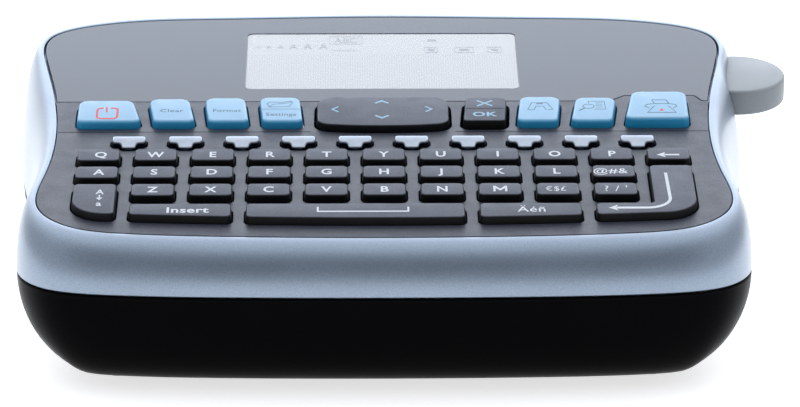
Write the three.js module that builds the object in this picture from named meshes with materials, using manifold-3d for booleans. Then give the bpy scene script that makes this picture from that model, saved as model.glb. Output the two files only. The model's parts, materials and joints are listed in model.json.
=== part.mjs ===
// Desktop label maker with a slanted keyboard, a display and a side lever that cuts the label.
// Millimetres. +X is the operator's right, +Y the rear, +Z up. The origin is the centre of the
// base of the bounding box. Keys and deck are drawn in a tilted group: x, distance up the
// slope, height above the deck.
import * as THREE from "three";
import { mergeVertices } from "three/addons/utils/BufferGeometryUtils.js";
import Module from "manifold-3d";

const wasm = await Module();
wasm.setup();

// ---- Driving dimensions -------------------------------------------------------------------

// Case: [x, y] down the right half of the outline at the seam, from front to rear, and the
// matching points of the opening in the top that the deck and the display panel fill.
const CASE_HALF = [
  [0, -73.5], [34, -72.8], [57, -70.8], [71.5, -65.6], [77.4, -56], [77.6, -32], [78, -6],
  [80.8, 17], [82.5, 37], [80, 54], [68, 65], [40, 69.5], [0, 70],
];
const OPENING_HALF = [
  [0, -66], [32, -65.3], [53, -63.8], [66.5, -60], [73, -52.5], [73.4, -32], [72.2, -6],
  [74.3, 17], [76.9, 34], [75.8, 50], [66, 56.5], [38, 60.3], [0, 61.5],
];
const OUTLINE_POINTS = 48;
const WALL = 2.2;
const GAP = 0.3;
const SEAM_Z = 22.65;
const FLOOR_Z = 2;
const FLOOR_THICKNESS = 2.4;
const HULL_INSET = { side: 17, front: 12, rear: 8 };

// Deck: a plane that rises to the rear.
const DECK_FRONT_Y = -66;
const DECK_FRONT_Z = 33.9;
const DECK_SLOPE = Math.atan(0.1575);
const DECK_THICKNESS = 2;
const DECK_CLEARANCE = 0.5;
const LEDGE_WIDTH = 1.5;
const DECK_REAR = 76.1;
const GROOVE = { at: 58.4, width: 0.5, depth: 0.4 };

// Keyboard: key columns share one pitch, rows are given by the middle of their keys.
const KEY_PITCH = 12.4;
const KEY_GAP = 0.4;
const KEY_WIDTH = 9.5;
const KEY_DEPTH = 6.8;
const KEY_HEIGHT = 1.7;
const KEY_TAPER = 0.5;
const KEY_ROOT = -3.2;
const FLANGE_TOP = -2.5;
const ROW = { top: 41.6, middle: 31.9, bottom: 22.2, space: 10.9 };
const SPACE_ROW_DEPTH = 7.6;
const NUMBER_KEY = { width: 7.6, lobeWidth: 3.2, front: 48, shoulder: 49.4, back: 53, height: 1.4 };

// How far up the slope the front edge of the space row lies, in the middle and 60 mm out.
const FRONT_EDGE = { middle: 6.6, out: 9.2 };

// Function keys: left and right ends of the front edge, then of the back edge, and the distance
// up the slope of the front and back edges.
const FUNCTION_KEYS = {
  power_key: { front: [-67.9, -53.3], back: [-67.9, -55.6], from: 60.4, to: 73.1, height: 1.8 },
  clear_key: { front: [-50.9, -41.4], back: [-52.4, -43.1], from: 60.4, to: 74, height: 1.8 },
  format_key: { front: [-38.8, -29.5], back: [-39.9, -30.6], from: 60.4, to: 74.5, height: 1.8 },
  settings_key: { front: [-26.8, -17.6], back: [-27.7, -18.4], from: 60.4, to: 74.8, height: 1.8 },
  save_key: { front: [29.5, 38.8], back: [30.6, 39.9], from: 60.4, to: 74.8, height: 1.8 },
  preview_key: { front: [41.4, 50.9], back: [43.1, 52.4], from: 60.4, to: 74.3, height: 1.8 },
  print_key: { front: [53.4, 67.9], back: [55.7, 68.1], from: 60.4, to: 76.6, height: 2.3 },
};
const ROCKER = { front: [17.6, 27.2], back: [18.4, 27.8], from: 60, to: 74, height: 1.9 };
const PAD = { halfWidth: 14.75, from: 58, to: 75.2, corner: 4, height: 1.6 };
const PRINT_RELIEF = { from: [51, 71.5], to: [54.5, 70], depth: 3.2 };

// Display.
const WINDOW = { halfWidth: 30.9, from: 84, to: 118.1, corner: 2.5 };

// Mechanism behind the display: every shaft runs front to rear at one height.
const SHAFT_Z = 23.5;
const PLATEN = { x: 50, radius: 4.5, from: 33, to: 58 };
const GEAR_MODULE = 1;
const GEAR_Y = 22.4;
const GEAR_WIDTH = 3;
const PLATEN_TEETH = 18;
const IDLER_TEETH = 24;
const PINION_TEETH = 10;
const CASSETTE = { left: -14, right: 44, front: 30.5, rear: 62, bottom: 11, top: 41.6 };
const SPOOL = { x: 4, z: 26, radius: 12.5 };
const CHASSIS = { left: -16, right: 61, rear: 59, base: 9, top: 37 };
const SHEET = 1.6;
const PLATE_Y = 27;
const MOTOR = { radius: 10, front: -3, plate: 19 };
const DOOR = { left: -18, right: 48, bottom: 8, top: 43, gap: 0.4 };
const HINGE = { y: 66.3, right: 40, radius: 1.4, pin: 0.7, lug: 2.6 };

// Cutter: a half-round lever that is pressed down on two guide rods.
const PADDLE = { x: 81.2, y: 35, top: 46.2, radius: 11.2, thickness: 6 };
const CUTTER_TRAVEL = 4.5;
const RODS = { x: 59, front: 31.5, rear: 57, radius: 1.5 };
const SLOT = { from: 34, to: 60, bottom: 26, top: 31 };

const BATTERY = { cellRadius: 7.25, cellLength: 50.5, rows: 3 };
const BAY = { halfWidth: 52.6, front: -50.4, rear: -5.6, top: 21.4 };
const COVER = { halfWidth: 51, front: -49, rear: -7, thickness: 2 };
const JACK = { x: -45, z: 30, radius: 4, bore: 3, pin: 1 };
const FEET = { x: 57, front: -50, rear: 48, radius: 4, recess: 1 };

// ---- Materials ----------------------------------------------------------------------------

const finish = (color, roughness, metalness = 0) =>
  new THREE.MeshStandardMaterial({ color, roughness, metalness });
const silverPlastic = finish(0x9ba8bd, 0.38, 0.55);
const blackPlastic = finish(0x15161a, 0.35);
const deckPlastic = finish(0x4a4c57, 0.55);
const panelPlastic = finish(0x565b66, 0.15);
const keyRubber = finish(0x3c3e48, 0.6);
const blueKeyPlastic = finish(0x8cc0e6, 0.3);
const numberKeyPlating = finish(0xc9d0e0, 0.25, 0.7);
const leverPlastic = finish(0xaab2bc, 0.45, 0.3);
const darkRubber = finish(0x1b1b1d, 0.85);
const displayGlass = finish(0xc5d2dd, 0.2);
const steel = finish(0xb4b8bd, 0.35, 0.9);
const whitePlastic = finish(0xd9d9d4, 0.5);
const circuitBoard = finish(0x1f5a3a, 0.5);
const labelTape = finish(0xf1efe6, 0.6);

// ---- Geometry helpers ---------------------------------------------------------------------

// A closed geometry as a manifold solid.
function solid(geometry) {
  const bare = geometry.index ? geometry.toNonIndexed() : geometry.clone();
  bare.deleteAttribute("normal");
  bare.deleteAttribute("uv");
  const merged = mergeVertices(bare, 1e-4);
  return new wasm.Manifold(
    new wasm.Mesh({
      numProp: 3,
      vertProperties: merged.attributes.position.array,
      triVerts: new Uint32Array(merged.index.array),
    }),
  );
}

// A manifold solid as a three.js geometry.
function geometryOf(body) {
  const mesh = body.getMesh();
  const geometry = new THREE.BufferGeometry();
  geometry.setAttribute("position", new THREE.BufferAttribute(mesh.vertProperties, 3));
  geometry.setIndex(new THREE.BufferAttribute(mesh.triVerts, 1));
  geometry.computeVertexNormals();
  return geometry;
}

const join = (first, ...others) => others.reduce((whole, next) => whole.add(next), first);
const cut = (first, ...others) => others.reduce((whole, next) => whole.subtract(next), first);

// A named mesh from a manifold solid, added to its group.
function addPiece(group, name, body, material) {
  const mesh = new THREE.Mesh(geometryOf(body), material);
  mesh.name = name;
  group.add(mesh);
  return mesh;
}

function block(x0, x1, y0, y1, z0, z1) {
  const geometry = new THREE.BoxGeometry(x1 - x0, y1 - y0, z1 - z0);
  geometry.translate((x0 + x1) / 2, (y0 + y1) / 2, (z0 + z1) / 2);
  return solid(geometry);
}

// A round bar between two points along one axis.
function bar(axis, from, to, a, b, radius, segments = 16) {
  const geometry = new THREE.CylinderGeometry(radius, radius, to - from, segments);
  const middle = (from + to) / 2;
  if (axis === "y") geometry.translate(0, middle, 0).rotateY(Math.PI / segments);
  if (axis === "x") geometry.rotateZ(Math.PI / 2).translate(middle, 0, 0);
  if (axis === "z") geometry.rotateX(Math.PI / 2).translate(0, 0, middle);
  if (axis === "y") geometry.translate(a, 0, b);
  if (axis === "x") geometry.translate(0, a, b);
  if (axis === "z") geometry.translate(a, b, 0);
  return solid(geometry);
}

// A solid skinned over rings of points, listed from the bottom up, each anticlockwise from above.
function loft(rings) {
  const count = rings[0].length;
  const positions = rings.flat().flatMap((point) => [point.x, point.y, point.z]);
  const faces = [];
  for (let level = 0; level + 1 < rings.length; level += 1) {
    for (let i = 0; i < count; i += 1) {
      const next = (i + 1) % count;
      const low = level * count;
      const high = low + count;
      faces.push(low + i, low + next, high + next, low + i, high + next, high + i);
    }
  }
  const lastRing = (rings.length - 1) * count;
  const flat = (ring) => ring.map((point) => new THREE.Vector2(point.x, point.y));
  for (const [a, b, c] of THREE.ShapeUtils.triangulateShape(flat(rings[0]), [])) faces.push(a, c, b);
  for (const [a, b, c] of THREE.ShapeUtils.triangulateShape(flat(rings.at(-1)), [])) {
    faces.push(lastRing + a, lastRing + b, lastRing + c);
  }
  const geometry = new THREE.BufferGeometry();
  geometry.setAttribute("position", new THREE.Float32BufferAttribute(positions, 3));
  geometry.setIndex(faces);
  return solid(geometry);
}

// Points of a closed outline moved outwards by a distance, or inwards when it is negative.
function offset(outline, distance) {
  return outline.map((point, i) => {
    const normal = outwardNormal(outline, i);
    const reach = typeof distance === "function" ? distance(normal, point) : distance;
    return new THREE.Vector2(point.x + normal.x * reach, point.y + normal.y * reach);
  });
}

// The mitred outward normal at a corner, long enough to move both edges by one unit.
function outwardNormal(outline, i) {
  const count = outline.length;
  const before = outline[i].clone().sub(outline[(i + count - 1) % count]).normalize();
  const after = outline[(i + 1) % count].clone().sub(outline[i]).normalize();
  const bisector = new THREE.Vector2(before.y + after.y, -before.x - after.x).normalize();
  return bisector.divideScalar(Math.max(0.5, bisector.x * after.y - bisector.y * after.x));
}

const atHeight = (outline, z) => outline.map((point) => new THREE.Vector3(point.x, point.y, z));

// A polygon with every corner cut off by a chamfer, given anticlockwise.
function chamfered(corners, size) {
  const count = corners.length;
  return corners.flatMap(([x, y], i) => {
    const corner = new THREE.Vector2(x, y);
    const towards = (other) => corner.clone().add(
      new THREE.Vector2(...other).sub(corner).setLength(size),
    );
    return [towards(corners[(i + count - 1) % count]), towards(corners[(i + 1) % count])];
  });
}

const rectangle = (x0, x1, y0, y1) => [[x0, y0], [x1, y0], [x1, y1], [x0, y1]];

// ---- Case outlines ------------------------------------------------------------------------

// A closed smooth outline through half a list of points and their mirror images.
function closedOutline(half) {
  const mirrored = half.slice(1, -1).reverse().map(([x, y]) => [-x, y]);
  const points = [...half, ...mirrored].map(([x, y]) => new THREE.Vector3(x, y, 0));
  const curve = new THREE.CatmullRomCurve3(points, true);
  return Array.from({ length: OUTLINE_POINTS }, (_, i) => {
    const point = curve.getPoint(i / OUTLINE_POINTS);
    return new THREE.Vector2(point.x, point.y);
  });
}

const caseOutline = closedOutline(CASE_HALF);
const openingOutline = closedOutline(OPENING_HALF);
const deckZ = (y) => DECK_FRONT_Z + (y - DECK_FRONT_Y) * Math.tan(DECK_SLOPE);

// One ring of the silver frame: fraction 0 is at the seam, 1 at the rim.
function frameRing(outer, inner, fraction, lowest, drop) {
  const roll = 1 - Math.sqrt(1 - Math.min(1, fraction) ** 2.6);
  const reach = roll * 0.9;
  return outer.map((point, i) => {
    const x = THREE.MathUtils.lerp(point.x, inner[i].x, reach);
    const y = THREE.MathUtils.lerp(point.y, inner[i].y, reach);
    return new THREE.Vector3(x, y, THREE.MathUtils.lerp(lowest, deckZ(y) - drop, fraction));
  });
}

// One ring of the black hull: angle 0 is at the seam, a right angle at the floor.
function hullRing(angle, inset, depth) {
  const narrow = offset(caseOutline, (normal) => {
    const end = normal.y < 0 ? HULL_INSET.front : HULL_INSET.rear;
    const full = HULL_INSET.side * normal.x ** 2 + end * normal.y ** 2;
    return -inset - full * (1 - Math.cos(angle));
  });
  return atHeight(narrow, SEAM_Z - depth * Math.sin(angle));
}

// ---- Case ---------------------------------------------------------------------------------

const hullAngles = [90, 68, 48, 28, 12, 0].map(THREE.MathUtils.degToRad);
const rollFractions = [0, 0.35, 0.6, 0.78, 0.9, 0.97, 1];
const deckSpan = (outline, low, high) =>
  loft([low, high].map((height) =>
    outline.map((point) => new THREE.Vector3(point.x, point.y, deckZ(point.y) + height))));

function wholeHull(inset, lift) {
  const depth = SEAM_Z - FLOOR_Z - lift;
  const rings = hullAngles.map((angle) => hullRing(angle, inset, depth));
  if (lift > 0) rings.push(atHeight(offset(caseOutline, -inset), SEAM_Z + WALL));
  return loft(rings);
}

function wholeFrame() {
  const outer = loft(rollFractions.map((f) => frameRing(caseOutline, openingOutline, f, SEAM_Z, 0)));
  const innerCase = offset(caseOutline, -WALL);
  const innerOpening = offset(openingOutline, -LEDGE_WIDTH);
  const ledgeDrop = DECK_THICKNESS + GAP + SHEET;
  const rings = [0, 0.6, 0.9, 1].map((f) => frameRing(innerCase, innerOpening, f, SEAM_Z, ledgeDrop));
  const hollow = loft([atHeight(innerCase, SEAM_Z - WALL), ...rings.slice(1)]);
  const seat = deckSpan(openingOutline, -DECK_THICKNESS - GAP, WALL);
  const throughHole = deckSpan(innerOpening, -DECK_THICKNESS - 2 * WALL, WALL);
  return cut(outer, hollow, seat, throughHole);
}

// The box that the rear door is cut from, grown by a clearance.
const doorBox = (gap) => block(
  DOOR.left - gap, DOOR.right + gap, 60, 75, DOOR.bottom - gap, DOOR.top + gap,
);
const hingeBarrel = (radius, reach) => bar(
  "x", DOOR.left - reach, HINGE.right + reach, HINGE.y, DOOR.bottom + HINGE.radius, radius,
);

// The room that the lower edge of the door swings in, along its whole width.
const hingeRelief = () => bar(
  "x", DOOR.left - DOOR.gap, DOOR.right + DOOR.gap, HINGE.y, DOOR.bottom + HINGE.radius,
  HINGE.radius + 2 * DOOR.gap,
);

// The two lugs that hold the ends of the hinge pin, grown by a clearance and reaching out to a
// given depth.
const hingeLugs = (gap, outerY) =>
  [DOOR.left - DOOR.gap - HINGE.lug, HINGE.right + DOOR.gap].map((x) => block(
    x - gap, x + HINGE.lug + gap, HINGE.y - 3.4 - gap, outerY, DOOR.bottom - 1.5 - gap, DOOR.bottom + 5 + gap,
  ));

function bottomShell() {
  const hull = cut(
    wholeHull(0, 0),
    wholeHull(WALL, FLOOR_THICKNESS),
    block(-100, 100, -100, 100, SEAM_Z - GAP, SEAM_Z + 5),
  );
  const bayWalls = cut(
    block(
      -BAY.halfWidth - SHEET, BAY.halfWidth + SHEET, BAY.front - SHEET, BAY.rear + SHEET,
      FLOOR_Z + 1, BAY.top + SHEET,
    ),
    block(-BAY.halfWidth, BAY.halfWidth, BAY.front, BAY.rear, FLOOR_Z, BAY.top),
  );
  const footRecesses = [-FEET.x, FEET.x].flatMap((x) => [FEET.front, FEET.rear].map((y) =>
    bar("z", 0, FLOOR_Z + FEET.recess, x, y, FEET.radius + GAP)));
  return cut(
    join(
      cut(hull, doorBox(DOOR.gap), hingeRelief()),
      bayWalls,
      ...hingeLugs(0, HINGE.y + 0.6),
    ),
    block(
      -COVER.halfWidth - GAP, COVER.halfWidth + GAP, COVER.front - GAP, COVER.rear + GAP,
      0, FLOOR_Z + 1 + FLOOR_THICKNESS,
    ),
    hingeBarrel(HINGE.pin + GAP, 4),
    ...footRecesses,
  );
}

// The window in the right flank that the cutter lever passes through.
function leverWindow() {
  const room = 0.6;
  const half = PADDLE.radius + 2 * room;
  const geometry = new THREE.BoxGeometry(30, 2 * half, PADDLE.thickness + CUTTER_TRAVEL + 2 * room);
  geometry.translate(0, 0, room - (PADDLE.thickness + CUTTER_TRAVEL + 2 * room) / 2);
  geometry.rotateX(DECK_SLOPE).translate(PADDLE.x, PADDLE.y, PADDLE.top);
  return solid(geometry);
}

function topFrame() {
  return cut(
    wholeFrame(),
    doorBox(DOOR.gap),
    leverWindow(),
    block(64, 95, SLOT.from, SLOT.to, SLOT.bottom, SLOT.top),
    bar("y", 60, 75, JACK.x, JACK.z, JACK.radius + GAP),
  );
}

function cassetteDoor() {
  const start = SEAM_Z - 0.01;
  const [innerCase, innerOpening] = [caseOutline, openingOutline].map((outline) => offset(outline, -WALL));
  const outerRings = [0, 0.35, 0.6, 0.78, 0.9]
    .map((f) => frameRing(caseOutline, openingOutline, f, start, 0));
  const innerRings = [0.6, 0.95].map((f) => frameRing(innerCase, innerOpening, f, start, 0));
  const wallPiece = join(
    cut(wholeHull(0, 0), wholeHull(WALL, FLOOR_THICKNESS)).intersect(doorBox(0)),
    cut(loft(outerRings), loft([atHeight(innerCase, start - GAP), ...innerRings])).intersect(doorBox(0)),
  );
  return cut(
    join(wallPiece, hingeBarrel(HINGE.radius, 0)),
    hingeBarrel(HINGE.pin + GAP, 4),
    hingeLugs(DOOR.gap, 80)[1],
  );
}

// ---- Deck, keys and display, all in the tilted group ---------------------------------------

const slopeOf = (y) => (y - DECK_FRONT_Y) / Math.cos(DECK_SLOPE);
const deckOutline = offset(
  openingOutline.map((point) => new THREE.Vector2(point.x, slopeOf(point.y))), -DECK_CLEARANCE,
);
const slab = (outline, low, high) => loft([atHeight(outline, low), atHeight(outline, high)]);

// The dark deck bulges rearwards round the print key.
function deckRegion(gap) {
  const { from, to, depth } = PRINT_RELIEF;
  const bulge = chamfered(
    [[from[0], DECK_REAR - 2], [from[1], DECK_REAR - 2], [to[1], DECK_REAR + depth],
      [to[0], DECK_REAR + depth]],
    1,
  );
  return join(
    block(-100, 100, -20, DECK_REAR + gap, -10, 10),
    slab(offset(bulge, gap), -10, 10),
  );
}

const letterOutline = (column, row) => {
  const x = column * KEY_PITCH;
  return chamfered(
    rectangle(x - KEY_WIDTH / 2, x + KEY_WIDTH / 2, row - KEY_DEPTH / 2, row + KEY_DEPTH / 2), 1.2,
  );
};

// The space row's front edge bows forward like the front of the case.
const frontEdge = (x) => THREE.MathUtils.lerp(FRONT_EDGE.middle, FRONT_EDGE.out, (x / 60) ** 2);

const wideOutline = (x0, x1) => {
  const middle = (x0 + x1) / 2;
  const high = ROW.space + SPACE_ROW_DEPTH / 2;
  return chamfered(
    [[x0, frontEdge(x0)], [middle, frontEdge(middle)], [x1, frontEdge(x1)], [x1, high], [x0, high]],
    1.3,
  );
};

const keyEdge = (column, side) => column * KEY_PITCH + side * KEY_WIDTH / 2;

function capsOutline() {
  const [x0, x1, high] = [keyEdge(-5, -1), keyEdge(-5, 1), ROW.bottom + KEY_DEPTH / 2];
  const low = frontEdge(x0);
  return chamfered(
    [[x0 + 6.5, low - 0.5], [x1, frontEdge(x1)], [x1, high], [x0, high], [x0, low + 7],
      [x0 + 2, low + 2]],
    1.2,
  );
}

function enterOutline() {
  const [x0, x1, x2] = [keyEdge(4, -1), keyEdge(5, -1), keyEdge(5, 1)];
  const [foot, high] = [ROW.space + SPACE_ROW_DEPTH / 2, ROW.middle + KEY_DEPTH / 2];
  const low = frontEdge(x2);
  return chamfered(
    [[x0, frontEdge(x0)], [x2 - 6.5, low - 0.5], [x2 - 2, low + 2], [x2, low + 7], [x2, high],
      [x1, high], [x1, foot], [x0, foot]],
    1.2,
  );
}

function numberOutline(x) {
  const { width, lobeWidth, front, shoulder, back } = NUMBER_KEY;
  return [
    [-lobeWidth / 2, front], [lobeWidth / 2, front], [lobeWidth / 2 + 0.3, shoulder],
    [width / 2, shoulder + 0.4], [width / 2, back], [-width / 2, back],
    [-width / 2, shoulder + 0.4], [-lobeWidth / 2 - 0.3, shoulder],
  ].map(([dx, y]) => new THREE.Vector2(x + dx, y));
}

const slantOutline = ({ front, back, from, to }) => chamfered(
  [[front[0], from], [front[1], from], [back[1], to], [back[0], to]], 1.4,
);

const padOutline = chamfered(
  [[-PAD.halfWidth, PAD.from + 1], [0, PAD.from], [PAD.halfWidth, PAD.from + 1],
    [PAD.halfWidth, PAD.to], [-PAD.halfWidth, PAD.to]],
  PAD.corner,
);

const LETTER_ROWS = {
  letter_row_top: { columns: [-5, 4], at: ROW.top },
  letter_row_middle: { columns: [-5, 4], at: ROW.middle },
  letter_row_bottom: { columns: [-4, 4], at: ROW.bottom },
};
const SPECIAL_KEYS = {
  backspace_key: letterOutline(5, ROW.top),
  caps_key: capsOutline(),
  insert_key: wideOutline(keyEdge(-4, -1), keyEdge(-3, 1)),
  space_bar: wideOutline(keyEdge(-2, -1), keyEdge(1, 1)),
  accent_key: wideOutline(keyEdge(2, -1), keyEdge(3, 1)),
  enter_key: enterOutline(),
};
const rowColumns = ({ columns: [first, last] }) =>
  Array.from({ length: last - first + 1 }, (_, i) => first + i);
const numberX = (i) => (i - 4.5) * KEY_PITCH;

// The part of a key cap that shows: it tapers towards its top.
const capRings = (outline, height, taper) => [
  atHeight(outline, 0.2), atHeight(offset(outline, -taper * 0.6), height * 0.8),
  atHeight(offset(outline, -taper), height),
];

// A key that is pressed straight down, on a flange that keeps it under the deck.
function keyCap(outline, height, taper) {
  const flange = offset(outline, 0.8);
  return loft([
    atHeight(flange, KEY_ROOT), atHeight(flange, FLANGE_TOP - 0.05), atHeight(outline, FLANGE_TOP),
    ...capRings(outline, height, taper),
  ]);
}

// A key that tips about a pivot under it, so it has no flange.
const tippingCap = (outline, height, taper) =>
  loft([atHeight(outline, KEY_ROOT), ...capRings(outline, height, taper)]);

// One row of letter keys on the carrier bar that joins them under the deck.
function letterRow(row) {
  const columns = rowColumns(row);
  const caps = columns.map((column) => {
    const outline = letterOutline(column, row.at);
    return loft([
      atHeight(outline, KEY_ROOT), atHeight(outline, 0.2), atHeight(offset(outline, -KEY_TAPER), KEY_HEIGHT),
    ]);
  });
  const carrier = block(
    keyEdge(columns[0], -0.8), keyEdge(columns.at(-1), 0.8), row.at - 2, row.at + 2, KEY_ROOT, FLANGE_TOP,
  );
  return join(carrier, ...caps);
}

function keyboardDeck() {
  const outlines = [
    ...Object.values(LETTER_ROWS).flatMap((row) =>
      rowColumns(row).map((column) => letterOutline(column, row.at))),
    ...Object.values(SPECIAL_KEYS),
    ...Object.values(FUNCTION_KEYS).map(slantOutline),
    ...Array.from({ length: 10 }, (_, i) => numberOutline(numberX(i))),
  ];
  const holes = outlines.map((outline) => slab(offset(outline, KEY_GAP), -5, 5));
  holes.push(slab(offset(slantOutline(ROCKER), KEY_GAP + 0.15), -5, 5));
  holes.push(slab(offset(padOutline, KEY_GAP + 0.2), -5, 5));
  const groove = [[-100, -16], [16, 100]].map(([x0, x1]) => block(
    x0, x1, GROOVE.at - GROOVE.width / 2, GROOVE.at + GROOVE.width / 2, -GROOVE.depth, 1,
  ));
  return cut(slab(deckOutline, -DECK_THICKNESS, 0).intersect(deckRegion(0)), ...groove, ...holes);
}

const windowOutline = (grow) => offset(
  chamfered(rectangle(-WINDOW.halfWidth, WINDOW.halfWidth, WINDOW.from, WINDOW.to), WINDOW.corner),
  grow,
);

function displayPanel() {
  return cut(
    slab(deckOutline, -DECK_THICKNESS, 0),
    deckRegion(GAP),
    slab(windowOutline(0), -5, 5),
    slab(offset(slantOutline(FUNCTION_KEYS.print_key), KEY_GAP), -5, 5),
  );
}

// The ring under the pad: it tips to and fro, and the pad tips sideways on it.
function padGimbal() {
  const middle = (PAD.from + PAD.to) / 2;
  return cut(
    block(-5, 5, middle - 4, middle + 4, -5.2, -3.7),
    block(-2.5, 2.5, middle - 2, middle + 2, -6, -3),
  );
}

function buildDeckGroup() {
  const group = new THREE.Group();
  group.position.set(0, DECK_FRONT_Y, DECK_FRONT_Z);
  group.rotation.x = DECK_SLOPE;
  addPiece(group, "keyboard_deck", keyboardDeck(), deckPlastic);
  addPiece(group, "display_panel", displayPanel(), panelPlastic);
  addPiece(group, "display_window", slab(windowOutline(-GAP), -1.3, -0.2), displayGlass);
  addPiece(group, "lcd_module", block(-34, 34, WINDOW.from - 3, WINDOW.to + 3, -6.4, -2.3), displayGlass);
  for (const [name, row] of Object.entries(LETTER_ROWS)) addPiece(group, name, letterRow(row), keyRubber);
  for (const [name, outline] of Object.entries(SPECIAL_KEYS)) {
    addPiece(group, name, keyCap(outline, KEY_HEIGHT, KEY_TAPER), keyRubber);
  }
  for (const [name, key] of Object.entries(FUNCTION_KEYS)) {
    addPiece(group, name, keyCap(slantOutline(key), key.height, 0.5), blueKeyPlastic);
  }
  for (let i = 0; i < 10; i += 1) {
    const cap = keyCap(numberOutline(numberX(i)), NUMBER_KEY.height, 0.45);
    addPiece(group, `number_key_${(i + 1) % 10}`, cap, numberKeyPlating);
  }
  addPiece(group, "ok_cancel_rocker", tippingCap(slantOutline(ROCKER), ROCKER.height, 0.6), keyRubber);
  addPiece(group, "navigation_pad", tippingCap(padOutline, PAD.height, 0.5), deckPlastic);
  addPiece(group, "navigation_gimbal", padGimbal(), whitePlastic);
  addPiece(group, "key_membrane", block(-66, 66, 7, 74, -7, -5.8), darkRubber);
  addPiece(group, "main_board", block(-64, 64, 9, 73, -8.9, -7.3), circuitBoard);
  return group;
}

// ---- Mechanism ----------------------------------------------------------------------------

const pitchRadius = (teeth) => teeth * GEAR_MODULE / 2;
const IDLER_X = PLATEN.x - pitchRadius(PLATEN_TEETH) - pitchRadius(IDLER_TEETH);
const MOTOR_X = IDLER_X - pitchRadius(IDLER_TEETH) - pitchRadius(PINION_TEETH);

// A spur gear on an axis that runs front to rear. Its first tooth, or its first space when it
// must mesh, points along +X.
function gear(teeth, x, startsWithSpace, boreRadius) {
  const [root, tip] = [pitchRadius(teeth) - 1.15, pitchRadius(teeth) + 0.75];
  const step = 2 * Math.PI / teeth;
  const shape = new THREE.Shape();
  for (let i = 0; i < teeth; i += 1) {
    const middle = (i + (startsWithSpace ? 0.5 : 0)) * step;
    for (const [part, radius] of [[-0.25, root], [-0.12, tip], [0.12, tip], [0.25, root]]) {
      const angle = middle + part * step;
      const [px, py] = [radius * Math.cos(angle), radius * Math.sin(angle)];
      if (shape.curves.length === 0 && i === 0 && part === -0.25) shape.moveTo(px, py);
      else shape.lineTo(px, py);
    }
  }
  const geometry = new THREE.ExtrudeGeometry(shape, { depth: GEAR_WIDTH, bevelEnabled: false });
  geometry.rotateX(Math.PI / 2).translate(x, GEAR_Y + GEAR_WIDTH, SHAFT_Z);
  return cut(solid(geometry), bar("y", GEAR_Y - 1, GEAR_Y + GEAR_WIDTH + 1, x, SHAFT_Z, boreRadius, 12));
}

function chassis() {
  const { left, right, rear, base, top } = CHASSIS;
  const [motorLeft, motorRight] = [MOTOR_X - 11, MOTOR_X + 11];
  const underCarriage = CARRIAGE_BOTTOM - CUTTER_TRAVEL - GAP;
  const anvil = { left: 60, face: 62.6, right: 64, from: SLOT.from - 1, to: SLOT.to - 3 };
  const plates = [
    block(left, right, PLATE_Y - SHEET, rear + SHEET, base, base + SHEET),
    block(left, right, PLATE_Y - SHEET, PLATE_Y, base, top),
    block(CASSETTE.right + 1, right - 1.5, rear, rear + SHEET, base, underCarriage),
    block(motorLeft, motorRight, MOTOR.plate, PLATE_Y, base, base + SHEET),
    block(motorLeft, motorRight, MOTOR.plate, MOTOR.plate + SHEET, base, top),
    block(anvil.face, anvil.right, anvil.from, anvil.to, base, SLOT.bottom),
    block(anvil.left, anvil.right, anvil.from, anvil.to, base, base + SHEET),
  ];
  const idlerAxle = bar("y", GEAR_Y - 0.6, PLATE_Y - 0.5, IDLER_X, SHAFT_Z, 1.5, 12);
  const posts = [left + 5, right - 9].flatMap((x) => [PLATE_Y + 5, rear - 8].map((y) =>
    bar("z", FLOOR_Z + FLOOR_THICKNESS + GAP, base + 0.5, x, y, 3, 8)));
  const holes = [
    bar("y", PLATE_Y - 5, rear + 4, PLATEN.x, SHAFT_Z, 1.9, 12),
    bar("y", MOTOR.plate - 4, MOTOR.plate + 4, MOTOR_X, SHAFT_Z, 3.4, 12),
    ...[RODS.front, RODS.rear].map((y) => bar("z", 0, 12, RODS.x, y, RODS.radius + GAP, 12)),
  ];
  return cut(join(...plates, idlerAxle, ...posts), ...holes);
}

function platenRoller() {
  return join(
    bar("y", PLATEN.from, PLATEN.to, PLATEN.x, SHAFT_Z, PLATEN.radius, 20),
    bar("y", GEAR_Y - 1, CHASSIS.rear + SHEET + 1, PLATEN.x, SHAFT_Z, 1.5, 12),
  );
}

function driveMotor() {
  return join(
    bar("y", MOTOR.front, MOTOR.plate - 0.4, MOTOR_X, SHAFT_Z, MOTOR.radius, 20),
    bar("y", MOTOR.plate - 1, MOTOR.plate + 1, MOTOR_X, SHAFT_Z, 3, 12),
    bar("y", MOTOR.plate, GEAR_Y + GEAR_WIDTH, MOTOR_X, SHAFT_Z, 1, 12),
  );
}

function printHead() {
  const nip = SHAFT_Z + PLATEN.radius + 0.6;
  return join(
    block(PLATEN.x - 3, PLATEN.x + 3, PLATEN.from, PLATEN.to, nip, nip + 3),
    block(PLATEN.x - 1, PLATEN.x + 1, PLATEN.from, PLATEN.to, nip + 2, 37),
  );
}

function tapeCassette() {
  const { left, right, front, rear, bottom, top } = CASSETTE;
  const skin = 1.5;
  return join(
    cut(
      block(left, right, front, rear, bottom, top),
      block(left + skin, right - skin, front + skin, rear - skin, bottom + skin, top - skin),
      block(right - 5, right + 5, PLATEN.from, PLATEN.to, SHAFT_Z + 3, SHAFT_Z + 8),
    ),
    bar("y", front + 1, rear - 1, SPOOL.x, SPOOL.z, 3, 12),
  );
}

function tapeSpool() {
  return cut(
    bar("y", CASSETTE.front + 3, CASSETTE.rear - 3, SPOOL.x, SPOOL.z, SPOOL.radius, 28),
    bar("y", CASSETTE.front, CASSETTE.rear, SPOOL.x, SPOOL.z, 3.5, 12),
  );
}

// ---- Cutter -------------------------------------------------------------------------------

const CARRIAGE_TOP = PADDLE.top - 3.4;
const CARRIAGE_BOTTOM = CARRIAGE_TOP - 4;

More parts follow.
